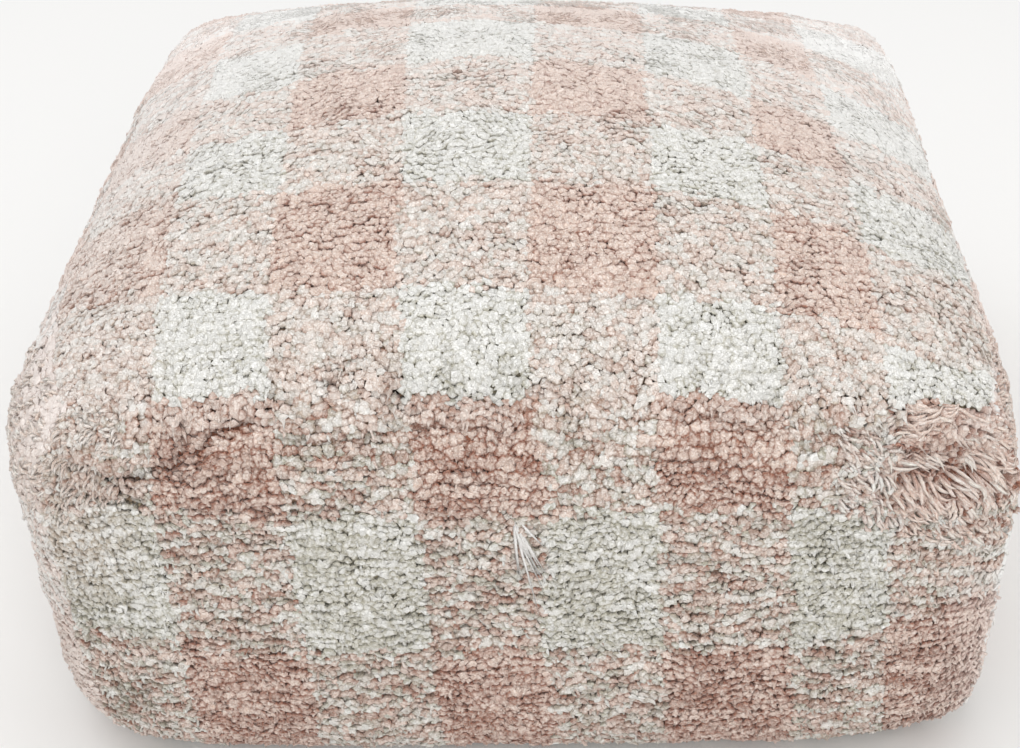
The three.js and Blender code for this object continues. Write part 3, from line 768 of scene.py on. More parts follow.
def haze_of(ends):
    """How much painted haze, a painted sheen, the pile has at each end, and how much of that paints the yarn
    paler.
    """
    x, y, b = ends.x, ends.y, ends.b
    from_top = (1 - b) * SEAM_HEIGHT
    if ends.top:
        haze = grown(y, BACK_HAZE) + grown(np.abs(x), ASIDE_HAZE) * grown(y, ASIDE_GROWTH)
    elif ends.panel == FRONT:
        corner = grown(ends.a, CORNER_HAZE_GROWTH)
        haze = CORNER_HAZE * corner * (b < CORNER_HAZE_HEIGHT)
        haze = haze + FRONT_SEAM_HAZE[0] * bell(from_top, FRONT_SEAM_HAZE[1])
        return np.clip(haze, 0, HAZE_LIMIT), corner
    else:
        haze = SIDE_HAZE + SIDE_SEAM_HAZE[0] * bell(from_top, SIDE_SEAM_HAZE[1])
        if ends.panel == RIGHT:
            haze = np.maximum(haze, grown(-y, RIGHT_HAZE))
    return np.clip(haze, 0, HAZE_LIMIT), 1


def painted_pale_share(ends):
    """How much paler the pile is painted at each end, a painted sheen and light, near the left front corner
    and under the front's seam.
    """
    if ends.top:
        growth = np.maximum(grown(-ends.y, TOP_PAINTED_PALE_GROWTH), TOP_PAINTED_PALE_LEAST)
        return grown(-ends.x, TOP_PAINTED_PALE) * growth
    if ends.panel == LEFT:
        return grown(-ends.y, LEFT_PAINTED_PALE)
    if ends.panel == FRONT:
        painted_pale = grown(-ends.a, CORNER_PAINTED_PALE) * grown(ends.b, CORNER_PAINTED_PALE_UP)
        return np.maximum(painted_pale, SEAM_PAINTED_PALE[0] * bell((1 - ends.b) * SEAM_HEIGHT, SEAM_PAINTED_PALE[1]))
    return np.zeros(ends.count)


def colour_ends(ends, draw):
    """The yarn of each end, its colours at the rim and deep down (the deep one painted shade), and its
    painted shade and painted haze.
    """
    mixed = ends.share == 0.5
    cloth = np.stack((MIX_SQUEEZE * ends.p, ends.q, np.zeros(ends.count)), -1)
    size, wavelength, seed = MIX_WAVE
    mix = size * waves(cloth, wavelength, seed + ends.panel) + draw.normal(0, MIX_UNEVEN, ends.count)
    mix = mix + MIX_TUFT[ends.top] * np.sin(ends.tuft * MIX_TURN)
    pink = np.where(mixed, mix > 0, ends.share > 0.5)
    bright = 1 + BRIGHT_TUFT * ends.number + draw.normal(0, BRIGHT_END, ends.count)
    other = np.where(mixed, draw.uniform(*MIX_BLEND[ends.top], ends.count), 0)[:, None]

    def blended(natural_colour, pink_colour):
        own = np.where(pink[:, None], pink_colour, natural_colour)
        return own * (1 - other) + np.where(pink[:, None], natural_colour, pink_colour) * other

    colour = blended(NATURAL_YARN, PINK_YARN) * bright[:, None]
    deep = blended(NATURAL_DEEP, PINK_DEEP) * (1 - CREASE_DEEP * ends.crease_shade)[:, None]
    size, wavelength, seed = PATCH_SHADE
    shade = np.clip(PATCH_MIDDLE + size * waves(cloth, wavelength, seed + ends.panel), 0, 1)
    shade = shade * DEEP_PATCH[ends.panel != FRONT]
    shade = np.maximum(shade, np.maximum(ends.crease_shade, ends.row_shade))
    haze, hazed_yarn = haze_of(ends)
    if ends.panel == FRONT:
        shade = shade + LOW_SHADE * (1 - ends.b) ** 2 * (1 - hazed_yarn)
    painted_pale = painted_pale_share(ends)[:, None]
    colour, deep = colour + (PALE_YARN - colour) * painted_pale, deep + (PALE_DEEP - deep) * painted_pale
    pale, deep_pale = (share * (haze * hazed_yarn)[:, None] for share in HAZE_SHARES)
    colour, deep = colour * (1 - pale) + PAINTED_HAZE_COLOUR * pale, deep * (1 - deep_pale) + PAINTED_HAZE_COLOUR * deep_pale
    return dict(pink=pink, colour=colour, deep=deep, shade=shade, haze=haze)


def pile_of(panel):
    """The cotton ends of a panel: where each starts, bends and ends, its thickness, and its colours."""
    draw = np.random.default_rng(200 + panel)
    ends = ends_of(panel)
    lean_together(ends)
    gather_tufts(ends, draw)
    cross_borders(ends, draw)
    fold_front(ends)
    comb_corner(ends)
    places, chosen, loose = stand_up(ends, draw)
    found = colour_ends(ends, draw)
    found["tuft"], found["row"] = ends.tuft * 5 + panel, ends.tuft_row * 5 + panel
    found["cap"] = CAP_HEIGHT + FLAT_AT_BACK * ends.behind
    found = {key: value[chosen] for key, value in found.items()}
    caps = draw.uniform(*LOCK_CAPS, len(loose)) - SWEPT_CAP * ends.strong[loose]
    found["cap"][places["loose"]] = caps
    found["width"] = LOCK_WIDTH * draw.uniform(*LOCK_WIDTH_FACTORS, len(chosen))
    found["panel"] = np.full(len(chosen), panel)
    found.update(places)
    if panel == FRONT:
        strands = wisp()
        found = {key: np.concatenate((value, strands[key])) for key, value in found.items()}
    return found


def wisp():
    """A few long fine strands that hang loose over the front."""
    draw = np.random.default_rng(404)
    count = WISP_STRANDS
    start, finish = (
        np.array(place)[:, None] + draw.normal(0, 1, (2, count)) * np.array(spread)[:, None]
        for place, spread in ((WISP_START, WISP_START_SPREAD), (WISP_END, WISP_END_SPREAD))
    )
    first, last = surface(FRONT, *start), surface(FRONT, *finish)
    out_first, out_last = normal(FRONT, *start), normal(FRONT, *finish)
    side = draw.normal(0, WISP_SIDE, (count, 1)) * np.array((1, 0, 0))
    root, tip = first + out_first * (WISP_ROOT * PILE), last + out_last * (PILE + WISP_TIP)
    bend = (first + last) / 2 + out_first * (PILE + WISP_RISE) + side
    ones, none = np.ones(count), np.zeros(count)
    return dict(
        tuft=-ones.astype(int), row=-ones.astype(int), pink=none > 0, shade=none, haze=none,
        colour=np.tile(WISP_YARN, (count, 1)), deep=np.tile(WISP_YARN, (count, 1)), cap=WISP_CAP * ones,
        width=WISP_WIDTH * ones, panel=ones.astype(int) * FRONT, root=root, bend=bend, tip=tip,
        loose=ones > 0,
    )


def round_corner(a, b):
    """The places, the pile's ways, its lengths and how far it is folded in, on the front at a and b, past
    a = 1 on the right side and past a = -1 on the left."""
    b = np.clip(b, EDGE, 1 - EDGE)
    found = []
    for panel, own in ((FRONT, a), (RIGHT, a - 2), (LEFT, a + 2)):
        own = np.clip(own, EDGE - 1, 1 - EDGE)
        places = surface(panel, own, b)
        length, fold = pile_length(panel, own, b, places), np.zeros(len(own))
        if panel == FRONT:
            place = places - RECENTRE
            for away, _, _ in crease_lines(place[:, 0], place[:, 2]):
                fold = np.maximum(fold, bell(away, FOLD_WIDTH))
        length = length - LOCK_FOLD * fold
        found.append((places, pile_way(panel, own, b, PILE_FAN), length, fold))
    which = np.where(a > 1, 1, np.where(a < -1, 2, 0))
    rows = np.arange(len(a))
    return [np.stack(values)[which, rows] for values in zip(*found)]


def add_colours(mesh, name, values):
    """Give each point of a mesh its colour, with an alpha of 1 where it has none."""
    full = values if values.shape[1] == 4 else np.concatenate((values, np.ones((len(values), 1))), 1)
    layer = mesh.color_attributes.new(name, "FLOAT_COLOR", "POINT")
    layer.data.foreach_set("color", full.astype(np.float32).ravel())


def add_mesh(name, points, loops, starts, colours=None, maps=None):
    """A smooth mesh object from arrays: its points, its faces' corners and where each face starts."""
    mesh = bpy.data.meshes.new(name)
    mesh.vertices.add(len(points))
    mesh.vertices.foreach_set("co", points.astype(np.float32).ravel())
    mesh.loops.add(len(loops))
    mesh.loops.foreach_set("vertex_index", loops.astype(np.int32))
    mesh.polygons.add(len(starts))
    mesh.polygons.foreach_set("loop_start", starts.astype(np.int32))
    if maps is not None:
        mesh.uv_layers.new(name="strand").uv.foreach_set("vector", maps.astype(np.float32).ravel())
    for colour_name, values in (colours or {}).items():
        add_colours(mesh, colour_name, values)
    mesh.update(calc_edges=True)
    mesh.validate()
    mesh.shade_smooth()
    made = bpy.data.objects.new(name, mesh)
    bpy.context.scene.collection.objects.link(made)
    return made


def strand_faces(sides, rings):
    """The corners of one strand's triangles, and how far round the strand each lies: from a point at its
    root through its rings to a point at its tip."""
    last = 1 + rings * sides
    corners, turns = [], []
    for n in range(sides):
        m = (n + 1) % sides
        corners += [0, 1 + m, 1 + n]
        turns += [n + 0.5, n + 1, n]
        for ring in range(rings - 1):
            low, high = 1 + ring * sides, 1 + (ring + 1) * sides
            corners += [low + n, low + m, high + m, low + n, high + m, high + n]
            turns += [n, n + 1, n + 1, n, n + 1, n]
        high = 1 + (rings - 1) * sides
        corners += [high + n, high + m, last]
        turns += [n, n + 1, n + 0.5]
    return np.array(corners), np.array(turns) / sides


def add_strands(name, points, sides, tones, shifts, colour, deep):
    """One joined mesh of closed strands, from the points of each, the tone at each point, how far its map
    is shifted, and its two colours."""
    count, each = points.shape[:2]
    corners, turns = strand_faces(sides, (each - 2) // sides)
    maps = np.stack((turns + shifts[:, None], tones[:, corners]), -1).reshape(-1, 2)
    loops = (corners[None, :] + np.arange(count)[:, None] * each).ravel()
    colours = {"yarn": np.repeat(colour, each, 0), "deep": np.repeat(deep, each, 0)}
    return add_mesh(name, points.reshape(-1, 3), loops, np.arange(0, len(loops), 3), colours, maps)


def lock_bundles(draw, side):
    """The bundles of one front corner's locks: the place of each as a and b, its angle and its length."""
    step_a, step_b = BUNDLE_PITCH / HALF_SIDE, BUNDLE_PITCH / SEAM_HEIGHT
    grid_a, grid_b = np.meshgrid(np.arange(*BUNDLES_ALONG, step_a), np.arange(*BUNDLES_UP, step_b))
    grid_a = grid_a + (np.arange(len(grid_a)) % 2)[:, None] * 0.5 * step_a
    own_a = (grid_a + draw.uniform(-BUNDLE_STRAY, BUNDLE_STRAY, grid_a.shape) * step_a).ravel() * side
    own_b = (grid_b + draw.uniform(-BUNDLE_STRAY, BUNDLE_STRAY, grid_b.shape) * step_b).ravel()
    places = round_corner(own_a, own_b)[0]
    x, y, height = (places - RECENTRE).T
    if side > 0:
        strength = combed(FRONT, places)
        turn, middle, reach = RIGHT_TURN_HEIGHT
        angle = RIGHT_TURN + turn * np.clip((height - middle) / reach, -1, 1)
        angle = angle - grown(own_a, RIGHT_TURN_BESIDE)
    else:
        strength = LEFT_STRENGTH * patch(x, height, LEFT_PATCH) * grown(-y, CORNER_GROWTH)
        angle = LEFT_TURN + grown(-height, LEFT_TURN_HEIGHT)
    kept = strength > draw.uniform(*BUNDLE_KEPT, len(strength))
    own_a, own_b, places, angle, strength = (v[kept] for v in (own_a, own_b, places, angle, strength))
    angle = np.radians(all_waves(BUNDLE_WAVES, places, angle))
    long = draw.uniform(*LOCK_LENGTHS, len(own_a)) * np.clip(strength / LENGTH_FULL, LENGTH_LEAST, 1)
    return own_a, own_b, angle, long


def lock_points(path, ways, half):
    """The points of the locks: each is a flattened tube round its path, closed to a point at both ends."""
    gone = unit(np.gradient(path, axis=0))
    aside = unit(np.cross(gone, ways))
    out = np.cross(aside, gone)
    around = np.arange(LOCK_SIDES) * (2 * math.pi / LOCK_SIDES)
    points = [(path[0] - gone[0] * LOCK_ENDS[0] * MM)[:, None]]
    for n, wide in enumerate(LOCK_PROFILE):
        reach = (half * wide)[:, None, None]
        circle = aside[n][:, None] * np.cos(around)[:, None]
        circle = circle + LOCK_FLATNESS * out[n][:, None] * np.sin(around)[:, None]
        points.append(path[n][:, None] + circle * reach)
    points.append((path[-1] + gone[-1] * LOCK_ENDS[1] * MM)[:, None])
    return np.concatenate(points, 1)


def lock_colours(draw, side, own_a, count):
    """The yarn and deep colour of each lock, pinker or whiter by bundle, painted lighter; the deep colour is
    painted shade.
    """
    white = WHITE_LOCKS * draw.random(count)
    bundles = draw.random(len(own_a)) < WHITE_BUNDLES[1]
    white = white + WHITE_BUNDLES[0] * np.repeat(bundles, BUNDLE_LOCKS)
    if side < 0:
        white = LEFT_WHITE[0] + LEFT_WHITE[1] * draw.random(count)
    inside = np.repeat((np.abs(own_a) < WHITE_INSIDE)[:, None] * WHITE_INSIDE_SHARE, BUNDLE_LOCKS, axis=0)
    share = np.minimum(white[:, None] + inside, 1)
    bright = draw.normal(1, BRIGHT_END, count)[:, None]
    colour = (PINK_YARN * (1 - share) + NATURAL_YARN * share) * bright * LOCK_LIGHT[side]
    return np.minimum(colour, LIGHT_LIMIT), np.tile(LOCK_DEEP if side > 0 else PALE_DEEP, (count, 1))


def combed_locks(name, material, side):
    """The long wavy locks of one front corner, in bundles, as one joined mesh of closed strands."""
    draw = np.random.default_rng(505 + side)
    own_a, own_b, angle, long = lock_bundles(draw, side)
    count = len(own_a) * BUNDLE_LOCKS
    off = draw.uniform(-BUNDLE_REACH, BUNDLE_REACH, (count, 2)) * BUNDLE_PITCH
    layer = draw.uniform(0, 1, count)
    angle = np.repeat(angle, BUNDLE_LOCKS) + draw.normal(0, OWN_TURNS[0], count)
    turn = np.repeat(draw.normal(0, LOCK_TURN, len(own_a)), BUNDLE_LOCKS)
    turn = turn + draw.normal(0, OWN_TURNS[1], count)
    long = np.repeat(long, BUNDLE_LOCKS) * draw.uniform(*LENGTH_RANGE, count)
    if side < 0:
        long = LEFT_LENGTH * long
    rings = []
    for station in LOCK_STATIONS:
        drawn = off * (1 - BUNDLE_DRAW * station)
        bend = angle + turn * (station - TURN_MIDDLE)
        gone = long * station
        a = np.repeat(own_a, BUNDLE_LOCKS) + (drawn[:, 0] + np.cos(bend) * gone) / HALF_SIDE
        b = np.repeat(own_b, BUNDLE_LOCKS) + (drawn[:, 1] + np.sin(bend) * gone) / SEAM_HEIGHT
        rings.append(round_corner(a, b))
    least, more = LOCK_LAYERS
    path = np.array([
        place + way * (length * share * (least + more * layer) + LOCK_CLEARANCE)[:, None]
        for (place, way, length, _), share in zip(rings, LOCK_LIFTS)
    ])
    ways = np.array([way for _, way, _, _ in rings])
    folded = np.array([fold for _, _, _, fold in rings]).T
    points = lock_points(path, ways, draw.uniform(*LOCK_WIDTHS, count))
    station_of = np.array([0, *np.repeat(np.arange(len(LOCK_PROFILE)) + 1, LOCK_SIDES), len(LOCK_TONES) - 1])
    dark, light = LAYER_TONES
    tone = LOCK_TONES[station_of][None, :] * (dark + light * layer)[:, None]
    tone = tone * draw.uniform(*TONE_FACTORS, (count, 1))
    tone = tone * (1 - FOLD_SHADE * folded[:, np.clip(station_of - 1, 0, len(LOCK_PROFILE) - 1)])
    shifts = draw.integers(0, MAP_SHIFTS, count)
    looks = lock_colours(draw, side, own_a, count)
    piece = add_strands(name, points, LOCK_SIDES, np.clip(tone, 0, 1), shifts, *looks)
    piece.data.materials.append(material)
    return piece


def middles(pile):
    """The middle of each end where it is widest."""
    height = pile["cap"][:, None]
    start, middle, finish = (1 - height) ** 2, 2 * height * (1 - height), height**2
    return pile["root"] * start + pile["bend"] * middle + pile["tip"] * finish


def fit_together(piles):
    """Give each end the outline that fills the room between its neighbours, and the painted shade of its rim.
    """
    whole = {key: np.concatenate([pile[key] for pile in piles]) for key in piles[0]}
    centres = middles(whole)
    standing = np.flatnonzero(~whole["loose"])
    tree = kdtree.KDTree(len(standing))
    for n, centre in zip(standing.tolist(), centres[standing].tolist()):
        tree.insert(centre, n)
    tree.balance()
    found = [tree.find_n(centre, NEIGHBOURS + 1) for centre in centres[standing].tolist()]
    near = np.array([[index for _, index, _ in nearest] for nearest in found])[:, 1:]
    chord = unit(whole["tip"] - whole["root"])
    first = unit(np.cross(chord, np.roll(chord, 1, axis=1) + 0.01))
    second = np.cross(chord, first)
    draw = np.random.default_rng(77)
    turn = draw.uniform(0, 2 * math.pi, len(chord))[:, None] + np.arange(SIDES) * (2 * math.pi / SIDES)
    ways = first[:, None] * np.cos(turn)[..., None] + second[:, None] * np.sin(turn)[..., None]
    reach = whole["width"][:, None] * draw.uniform(*LOOSE_OUTLINE, ways.shape[:2])

    own, axis = centres[standing], chord[standing][:, None]
    apart = centres[near] - own[:, None]
    apart = apart - (apart * axis).sum(-1, keepdims=True) * axis
    distance = np.linalg.norm(apart, axis=-1)
    one_row = whole["row"][near] == whole["row"][standing][:, None]
    one_row |= whole["panel"][near] != whole["panel"][standing][:, None]
    one_tuft = whole["tuft"][near] == whole["tuft"][standing][:, None]
    gap = np.where(one_row, draw.uniform(*TUFT_GAP, near.shape), draw.uniform(*ROW_GAP, near.shape))
    gap = gap + all_waves((GAP_WAVE,), own)[:, None]
    gap = np.where(one_tuft, END_GAP, gap) - HAZE_FILL * whole["haze"][standing][:, None]
    gap = gap * MM
    room = (np.maximum(distance - gap, LEAST_APART) / 2)[:, None]
    facing = np.einsum("nkc,njc->nkj", ways[standing], apart / np.maximum(distance, TINY)[..., None])
    reaches = np.where(facing > LEAST_FACING, room / np.maximum(facing, LEAST_FACING), 1)
    beside = reaches.argmin(-1)
    reaches = reaches.min(-1) * (OUTLINE_SPREAD[0] + draw.normal(0, OUTLINE_SPREAD[1], beside.shape))
    reach[standing] = np.minimum(reaches, END_WIDEST)
    whole["outline"] = ways * reach[..., None]

    kind = np.where(one_tuft, 0, np.where(one_row, 1, 2))
    group = (whole["panel"][standing] != FRONT).astype(int)[:, None]
    rim = np.full(reach.shape, LOOSE_RIM)
    rim[standing] = np.array(RIM_TONES)[group, np.take_along_axis(kind, beside, 1)]
    uneven = all_waves((RIM_WAVE,), centres)[:, None]
    rim = rim + draw.normal(0, RIM_SPREAD, rim.shape) + uneven - RIM_SHADE * whole["shade"][:, None]
    rim = rim + (1 - rim) * whole["haze"][:, None]
    whole["rim"] = np.clip(rim, *RIM_LIMITS)
    counts = np.cumsum([len(pile["root"]) for pile in piles])[:-1]
    split = {key: np.split(value, counts) for key, value in whole.items()}
    return [{key: values[n] for key, values in split.items()} for n in range(len(piles))]


def cotton_ends(name, pile, seed):
    """One joined mesh of all these cotton ends, each a closed strand that widens to a low, uneven cap."""
    draw = np.random.default_rng(seed)
    count, each = len(pile["root"]), SIDES + 2
    chord = unit(pile["tip"] - pile["root"])
    ring = middles(pile)[:, None] + pile["outline"]
    ring = ring + chord[:, None] * draw.normal(0, RING_UNEVEN, (count, SIDES))[..., None]
    ring[..., 2] = np.maximum(ring[..., 2], LEAST_RING_HEIGHT)
    aside = np.einsum("nk,nkc->nc", draw.dirichlet(np.full(SIDES, TIP_EVENNESS), count), pile["outline"])
    tip = pile["tip"] + aside * TIP_ASIDE
    points = np.concatenate((pile["root"][:, None], ring, tip[:, None]), 1)
    root_tone, tip_tone = LOOSE_ROOT_TONE * pile["loose"], 1 - TIP_SHADE * pile["shade"]
    tone = np.concatenate((root_tone[:, None], pile["rim"], tip_tone[:, None]), 1)
    shifts = draw.integers(0, MAP_SHIFTS, count)
    deep = np.concatenate((pile["deep"], 1 - pile["haze"][:, None]), 1)
    piece = add_strands(name, points, SIDES, tone, shifts, pile["colour"], deep)
    joined = np.empty(len(piece.data.edges) * 2, dtype=np.int32)
    piece.data.edges.foreach_get("vertices", joined)
    place = joined.reshape(-1, 2) % each
    rim = ((place > 0) & (place < each - 1)).all(1) & ~pile["loose"][joined[::2] // each]
    piece.data.attributes.new("sharp_edge", "BOOLEAN", "EDGE").data.foreach_set("value", rim)
    return piece


def set_inputs(mat, node, inputs):
    """Give a node its inputs, each a value or the output of another node."""
    for name, value in inputs.items():
        if isinstance(value, bpy.types.NodeSocket):
            mat.node_tree.links.new(value, node.inputs[name])
        else:
            node.inputs[name].default_value = value


def add_node(mat, kind, inputs=None, **settings):
    """The outputs of a new node with these settings and inputs."""
    node = mat.node_tree.nodes.new("ShaderNode" + kind)
    for name, value in settings.items():
        setattr(node, name, value)
    set_inputs(mat, node, inputs or {})
    return node.outputs


def computed(mat, operation, *values):
    return add_node(mat, "Math", dict(enumerate(values)), operation=operation)["Value"]


def blend(mat, share, first, second, **settings):
    """The colour between the first and the second, by their share."""
    inputs = {"Factor": share, "A": first, "B": second}
    return add_node(mat, "Mix", inputs, data_type="RGBA", **settings)["Result"]


def new_material(name):
    mat = bpy.data.materials.new(name)
    mat.use_nodes = True
    return mat


def set_shader(mat, colour, roughness, specular, **others):
    """Give the material's shader its inputs."""
    shader = mat.node_tree.nodes["Principled BSDF"]
    inputs = {"Base Color": colour, "Roughness": roughness, "Specular IOR Level": specular}
    inputs.update({name.replace("_", " "): value for name, value in others.items()})
    set_inputs(mat, shader, inputs)


def cotton(name, sheen_tint):
    """Fluffy cotton yarn: the strand's own colour, with painted shade towards its root and in the fine gaps
    between its fibres.
    """
    mat = new_material(name)
    yarn = add_node(mat, "Attribute", attribute_name="yarn")["Color"]
    deep = add_node(mat, "Attribute", attribute_name="deep")
    strand = add_node(mat, "UVMap", uv_map="strand")["UV"]
    place = add_node(mat, "TexCoord")["Object"]
    inputs = {"Vector": place, "Scale": 700.0, "Detail": 3.0, "Roughness": 0.65}
    fluff = add_node(mat, "TexNoise", inputs)["Fac"]
    stretched = add_node(mat, "Mapping", {"Vector": strand, "Scale": (9, 1.5, 1)})["Vector"]
    fibres = add_node(mat, "TexNoise", {"Vector": stretched, "Scale": 1.0, "Detail": 1.0})["Fac"]
    # A fine gap runs wherever the fluff passes through its middle value.
    away = computed(mat, "ABSOLUTE", computed(mat, "SUBTRACT", fluff, 0.5))
    inputs = {"Value": away, "From Max": 0.07}
    gap = add_node(mat, "MapRange", inputs, interpolation_type="SMOOTHSTEP")["Result"]
    raised = computed(mat, "MULTIPLY_ADD", gap, 0.5, computed(mat, "ADD", fluff, fibres))
    inputs = {"Value": raised, "From Min": 0.6, "From Max": 1.5, "To Min": 2.1, "To Max": 0.7}
    depth = add_node(mat, "MapRange", inputs)["Result"]
    # The strand has its deep colour, painted shade, at its root and its own colour at its rim.
    along = add_node(mat, "SeparateXYZ", {"Vector": strand})["Y"]
    inputs = {"Value": along, "From Min": 0.12, "From Max": 1.0}
    height = add_node(mat, "MapRange", inputs, interpolation_type="SMOOTHSTEP")["Result"]
    own = blend(mat, height, deep["Color"], yarn)
    deepened = add_node(mat, "Gamma", {"Color": own, "Gamma": depth})["Color"]
    shown = blend(mat, deep["Alpha"], own, deepened)
    relief = computed(mat, "MULTIPLY", raised, deep["Alpha"])
    bump = add_node(mat, "Bump", {"Height": relief, "Strength": 0.7, "Distance": 1 * MM})["Normal"]
    sheen = dict(Sheen_Weight=0.7, Sheen_Roughness=0.4, Sheen_Tint=(*sheen_tint, 1))
    set_shader(mat, shown, 0.92, 0.12, Normal=bump, **sheen)
    return mat


def canvas():
    """The plain woven base cloth, one thread over and one under."""
    mat = new_material("base_canvas")
    place = add_node(mat, "TexCoord")["Object"]
    inputs = {"Vector": place, "Scale": 190.0, "Distortion": 0.6, "Detail": 2.0, "Detail Scale": 0.4}
    threads = [
        add_node(mat, "TexWave", inputs, wave_type="BANDS", bands_direction=axis)["Fac"] for axis in "XY"
    ]
    slub = add_node(mat, "TexNoise", {"Vector": place, "Scale": 140.0, "Detail": 4.0})["Fac"]
    raised = computed(mat, "ADD", computed(mat, "MULTIPLY", *threads), slub)
    tone = blend(mat, raised, (0.47, 0.44, 0.37, 1), (0.70, 0.67, 0.59, 1))
    bump = add_node(mat, "Bump", {"Height": raised, "Strength": 0.6, "Distance": 0.5 * MM})["Normal"]
    set_shader(mat, tone, 0.9, 0.2, Normal=bump)
    return mat


def ground_cloth():
    """The dense lower pile and backing, seen only between the ends, in a darker colour that is painted shade.
    """
    mat = new_material("pile_ground")
    yarn = add_node(mat, "Attribute", attribute_name="yarn")["Color"]
    place = add_node(mat, "TexCoord")["Object"]
    knots = add_node(mat, "TexVoronoi", {"Vector": place, "Scale": 330.0})["Distance"]
    bump = add_node(mat, "Bump", {"Height": knots, "Strength": 0.8, "Distance": 1 * MM})["Normal"]
    inputs = {"Value": knots, "From Max": 0.7, "To Min": 1.1, "To Max": 0.6}
    tone = add_node(mat, "MapRange", inputs)["Result"]
    shaded = blend(mat, 1.0, yarn, tone, blend_type="MULTIPLY")
    set_shader(mat, shaded, 0.95, 0.1, Normal=bump)
    return mat


def ground_pile(panel, a, b):
    """The places of the dense lower pile over a panel."""
    places = surface(panel, a, b)
    return places + pile_way(panel, a, b) * ground_height(panel, a, b, places)[:, None]


def cube_sides(x, y):
    """For each upright side of the cube: which points lie on it, its panel and their places along it."""
    return (
        (np.isclose(y, -1), FRONT, x),
        (np.isclose(x, 1), RIGHT, y),
        (np.isclose(y, 1), BACK, -x),
        (np.isclose(x, -1), LEFT, -y),
    )


def body_points(cube):
    """Where each point of the cube lies on a panel's ground or on the base, and the ground's colour there."""
    x, y, level = cube[:, 0], cube[:, 1], (cube[:, 2] + 1) / 2
    on_panels = [(here, panel, along, level) for here, panel, along in cube_sides(x, y)]
    placed, colours = cube.copy(), np.tile(NATURAL_GROUND, (len(cube), 1))
    for here, panel, a, b in on_panels + [(np.isclose(level, 1), TOP, x, y)]:
        a, b = a[here], b[here]
        placed[here] = ground_pile(panel, a, b)
        share = pink_share(panel, a, b, *cloth_place(panel, a, b))[:, None]
        colours[here] = NATURAL_GROUND * (1 - share) + PINK_GROUND * share
    base = np.isclose(level, 0)
    out = np.abs(cube[base, :2]).max(1)
    edge = cube[base, :2] / np.maximum(out, TINY)[:, None]
    rim = np.zeros((len(edge), 3))
    for here, panel, along in cube_sides(*edge.T):
        rim[here] = ground_pile(panel, along[here], np.zeros(here.sum()))
    placed[base] = rim * out[:, None]
    placed[base, 2] = 0
    return placed, colours


def filled_body():
    """The filled body under the pile: a cube with many faces, pushed into shape."""
    bpy.ops.object.select_all(action="DESELECT")
    bpy.ops.mesh.primitive_cube_add(size=2)
    body = bpy.context.object
    body.name = body.data.name = "filled_body"
    bpy.ops.object.mode_set(mode="EDIT")
    bpy.ops.mesh.select_all(action="SELECT")
    bpy.ops.mesh.subdivide(number_cuts=BODY_CUTS)
    bpy.ops.object.mode_set(mode="OBJECT")
    cube = np.empty(len(body.data.vertices) * 3)
    body.data.vertices.foreach_get("co", cube)
    placed, colours = body_points(cube.reshape(-1, 3))
    body.data.vertices.foreach_set("co", placed.astype(np.float32).ravel())
    add_colours(body.data, "yarn", colours)
    body.data.update()
    body.data.materials.append(ground_cloth())
    body.data.materials.append(canvas())
    for polygon in body.data.polygons:
        flat = polygon.normal.z < FACING_DOWN and polygon.center.z < TINY
        polygon.material_index = int(flat)
    body.data.shade_smooth()
    return body


body = filled_body()
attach(body, "root")
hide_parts("filled_cushion")

natural = cotton("natural_cotton", (1.0, 0.99, 0.95))
pink_cotton = cotton("pink_cotton", (1.0, 0.86, 0.8))
piles = fit_together([pile_of(panel) for panel in range(len(PANEL_NAMES))])
for name, pile in zip(PANEL_NAMES, piles):
    for colour_name, chosen, material in (
        ("natural", ~pile["pink"], natural),
        ("pink", pile["pink"], pink_cotton),
    ):
        some = {key: value[chosen] for key, value in pile.items()}
        piece = cotton_ends(f"{name.split('_')[0]}_pile_{colour_name}", some, 300 + PANEL_NAMES.index(name))
        piece.data.materials.append(material)
        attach(piece, "root")
        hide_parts(name)

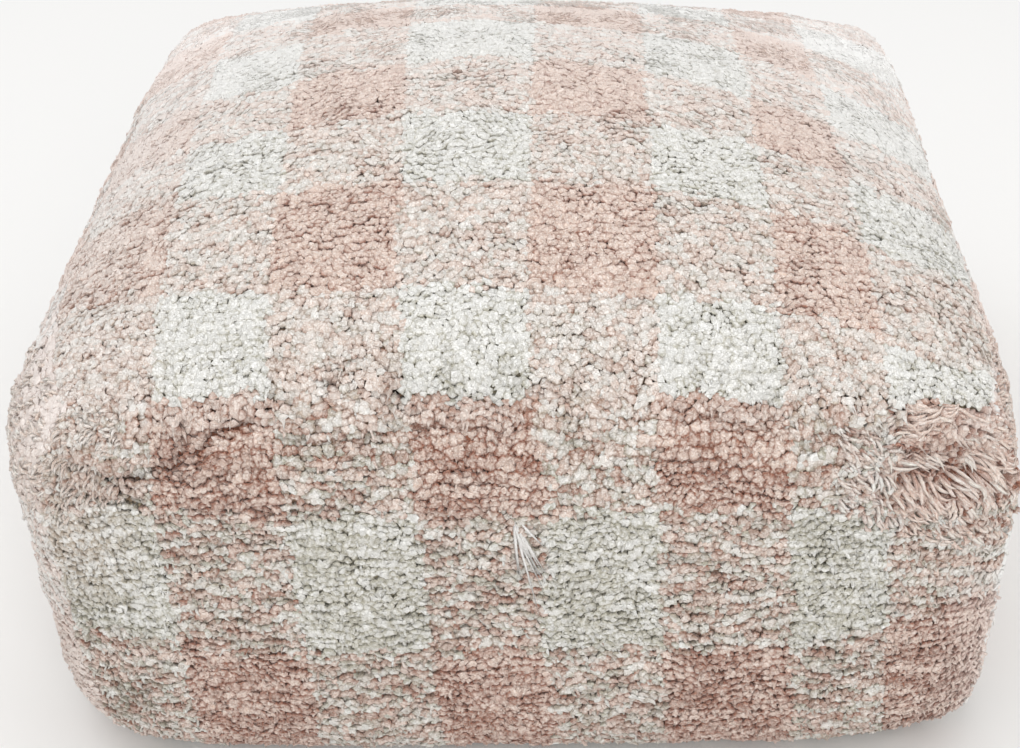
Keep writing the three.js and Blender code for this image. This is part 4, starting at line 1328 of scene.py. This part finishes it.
for side, side_name, material in ((1, "right", pink_cotton), (-1, "left", natural)):
    locks = combed_locks(f"{side_name}_corner_locks", material, side)
    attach(locks, "root")
    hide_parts("front_panel")


def pale_floor():
    bpy.ops.object.select_all(action="DESELECT")
    bpy.ops.mesh.primitive_plane_add(size=FLOOR_SIZE)
    floor = bpy.context.object
    floor.name = "floor"
    mat = new_material("pale_floor")
    set_shader(mat, FLOOR_COLOUR, 0.9, 0.0)
    floor.data.materials.append(mat)
    return floor


def surround():
    """The bright surround of the studio."""
    world = bpy.data.worlds.new("studio")
    bpy.context.scene.world = world
    world.use_nodes = True
    background = world.node_tree.nodes["Background"]
    background.inputs["Color"].default_value = (1.0, 1.0, 1.0, 1)
    background.inputs["Strength"].default_value = SURROUND_STRENGTH


def lamp(name, place, target, size, power, colour):
    """A round soft lamp at a place, turned to its target."""
    data = bpy.data.lights.new(name, "AREA")
    data.shape, data.size, data.energy, data.color = "DISK", size, power, colour
    made = bpy.data.objects.new(name, data)
    bpy.context.scene.collection.objects.link(made)
    back = unit(np.array(place, float) - np.array(target, float))
    side = unit(np.cross((0.0, 1.0, 0.001), back))
    up = np.cross(back, side)
    made.matrix_world = Matrix.Translation(place) @ Matrix(np.stack((side, up, back), -1)).to_4x4()


def photo_camera():
    """The camera, as it stood for the photograph."""
    stand, right, up, ahead = camera_stand()
    data = bpy.data.cameras.new("camera")
    data.lens, data.sensor_width, data.sensor_fit = LENS, SENSOR, "HORIZONTAL"
    data.shift_x = (WIDTH / 2 - CENTRE_X) / WIDTH
    data.shift_y = (CENTRE_Y - HEIGHT / 2) / WIDTH
    data.clip_start, data.clip_end = CAMERA_REACH
    camera = bpy.data.objects.new("camera", data)
    bpy.context.scene.collection.objects.link(camera)
    turned = Matrix(np.stack((right, up, -ahead), -1).tolist()).to_4x4()
    camera.matrix_world = Matrix.Translation(stand.tolist()) @ turned
    bpy.context.scene.camera = camera


floor = pale_floor()
surround()
for name, settings in LAMPS.items():
    lamp(name, *settings)
photo_camera()
bpy.context.scene.view_settings.view_transform = "Standard"
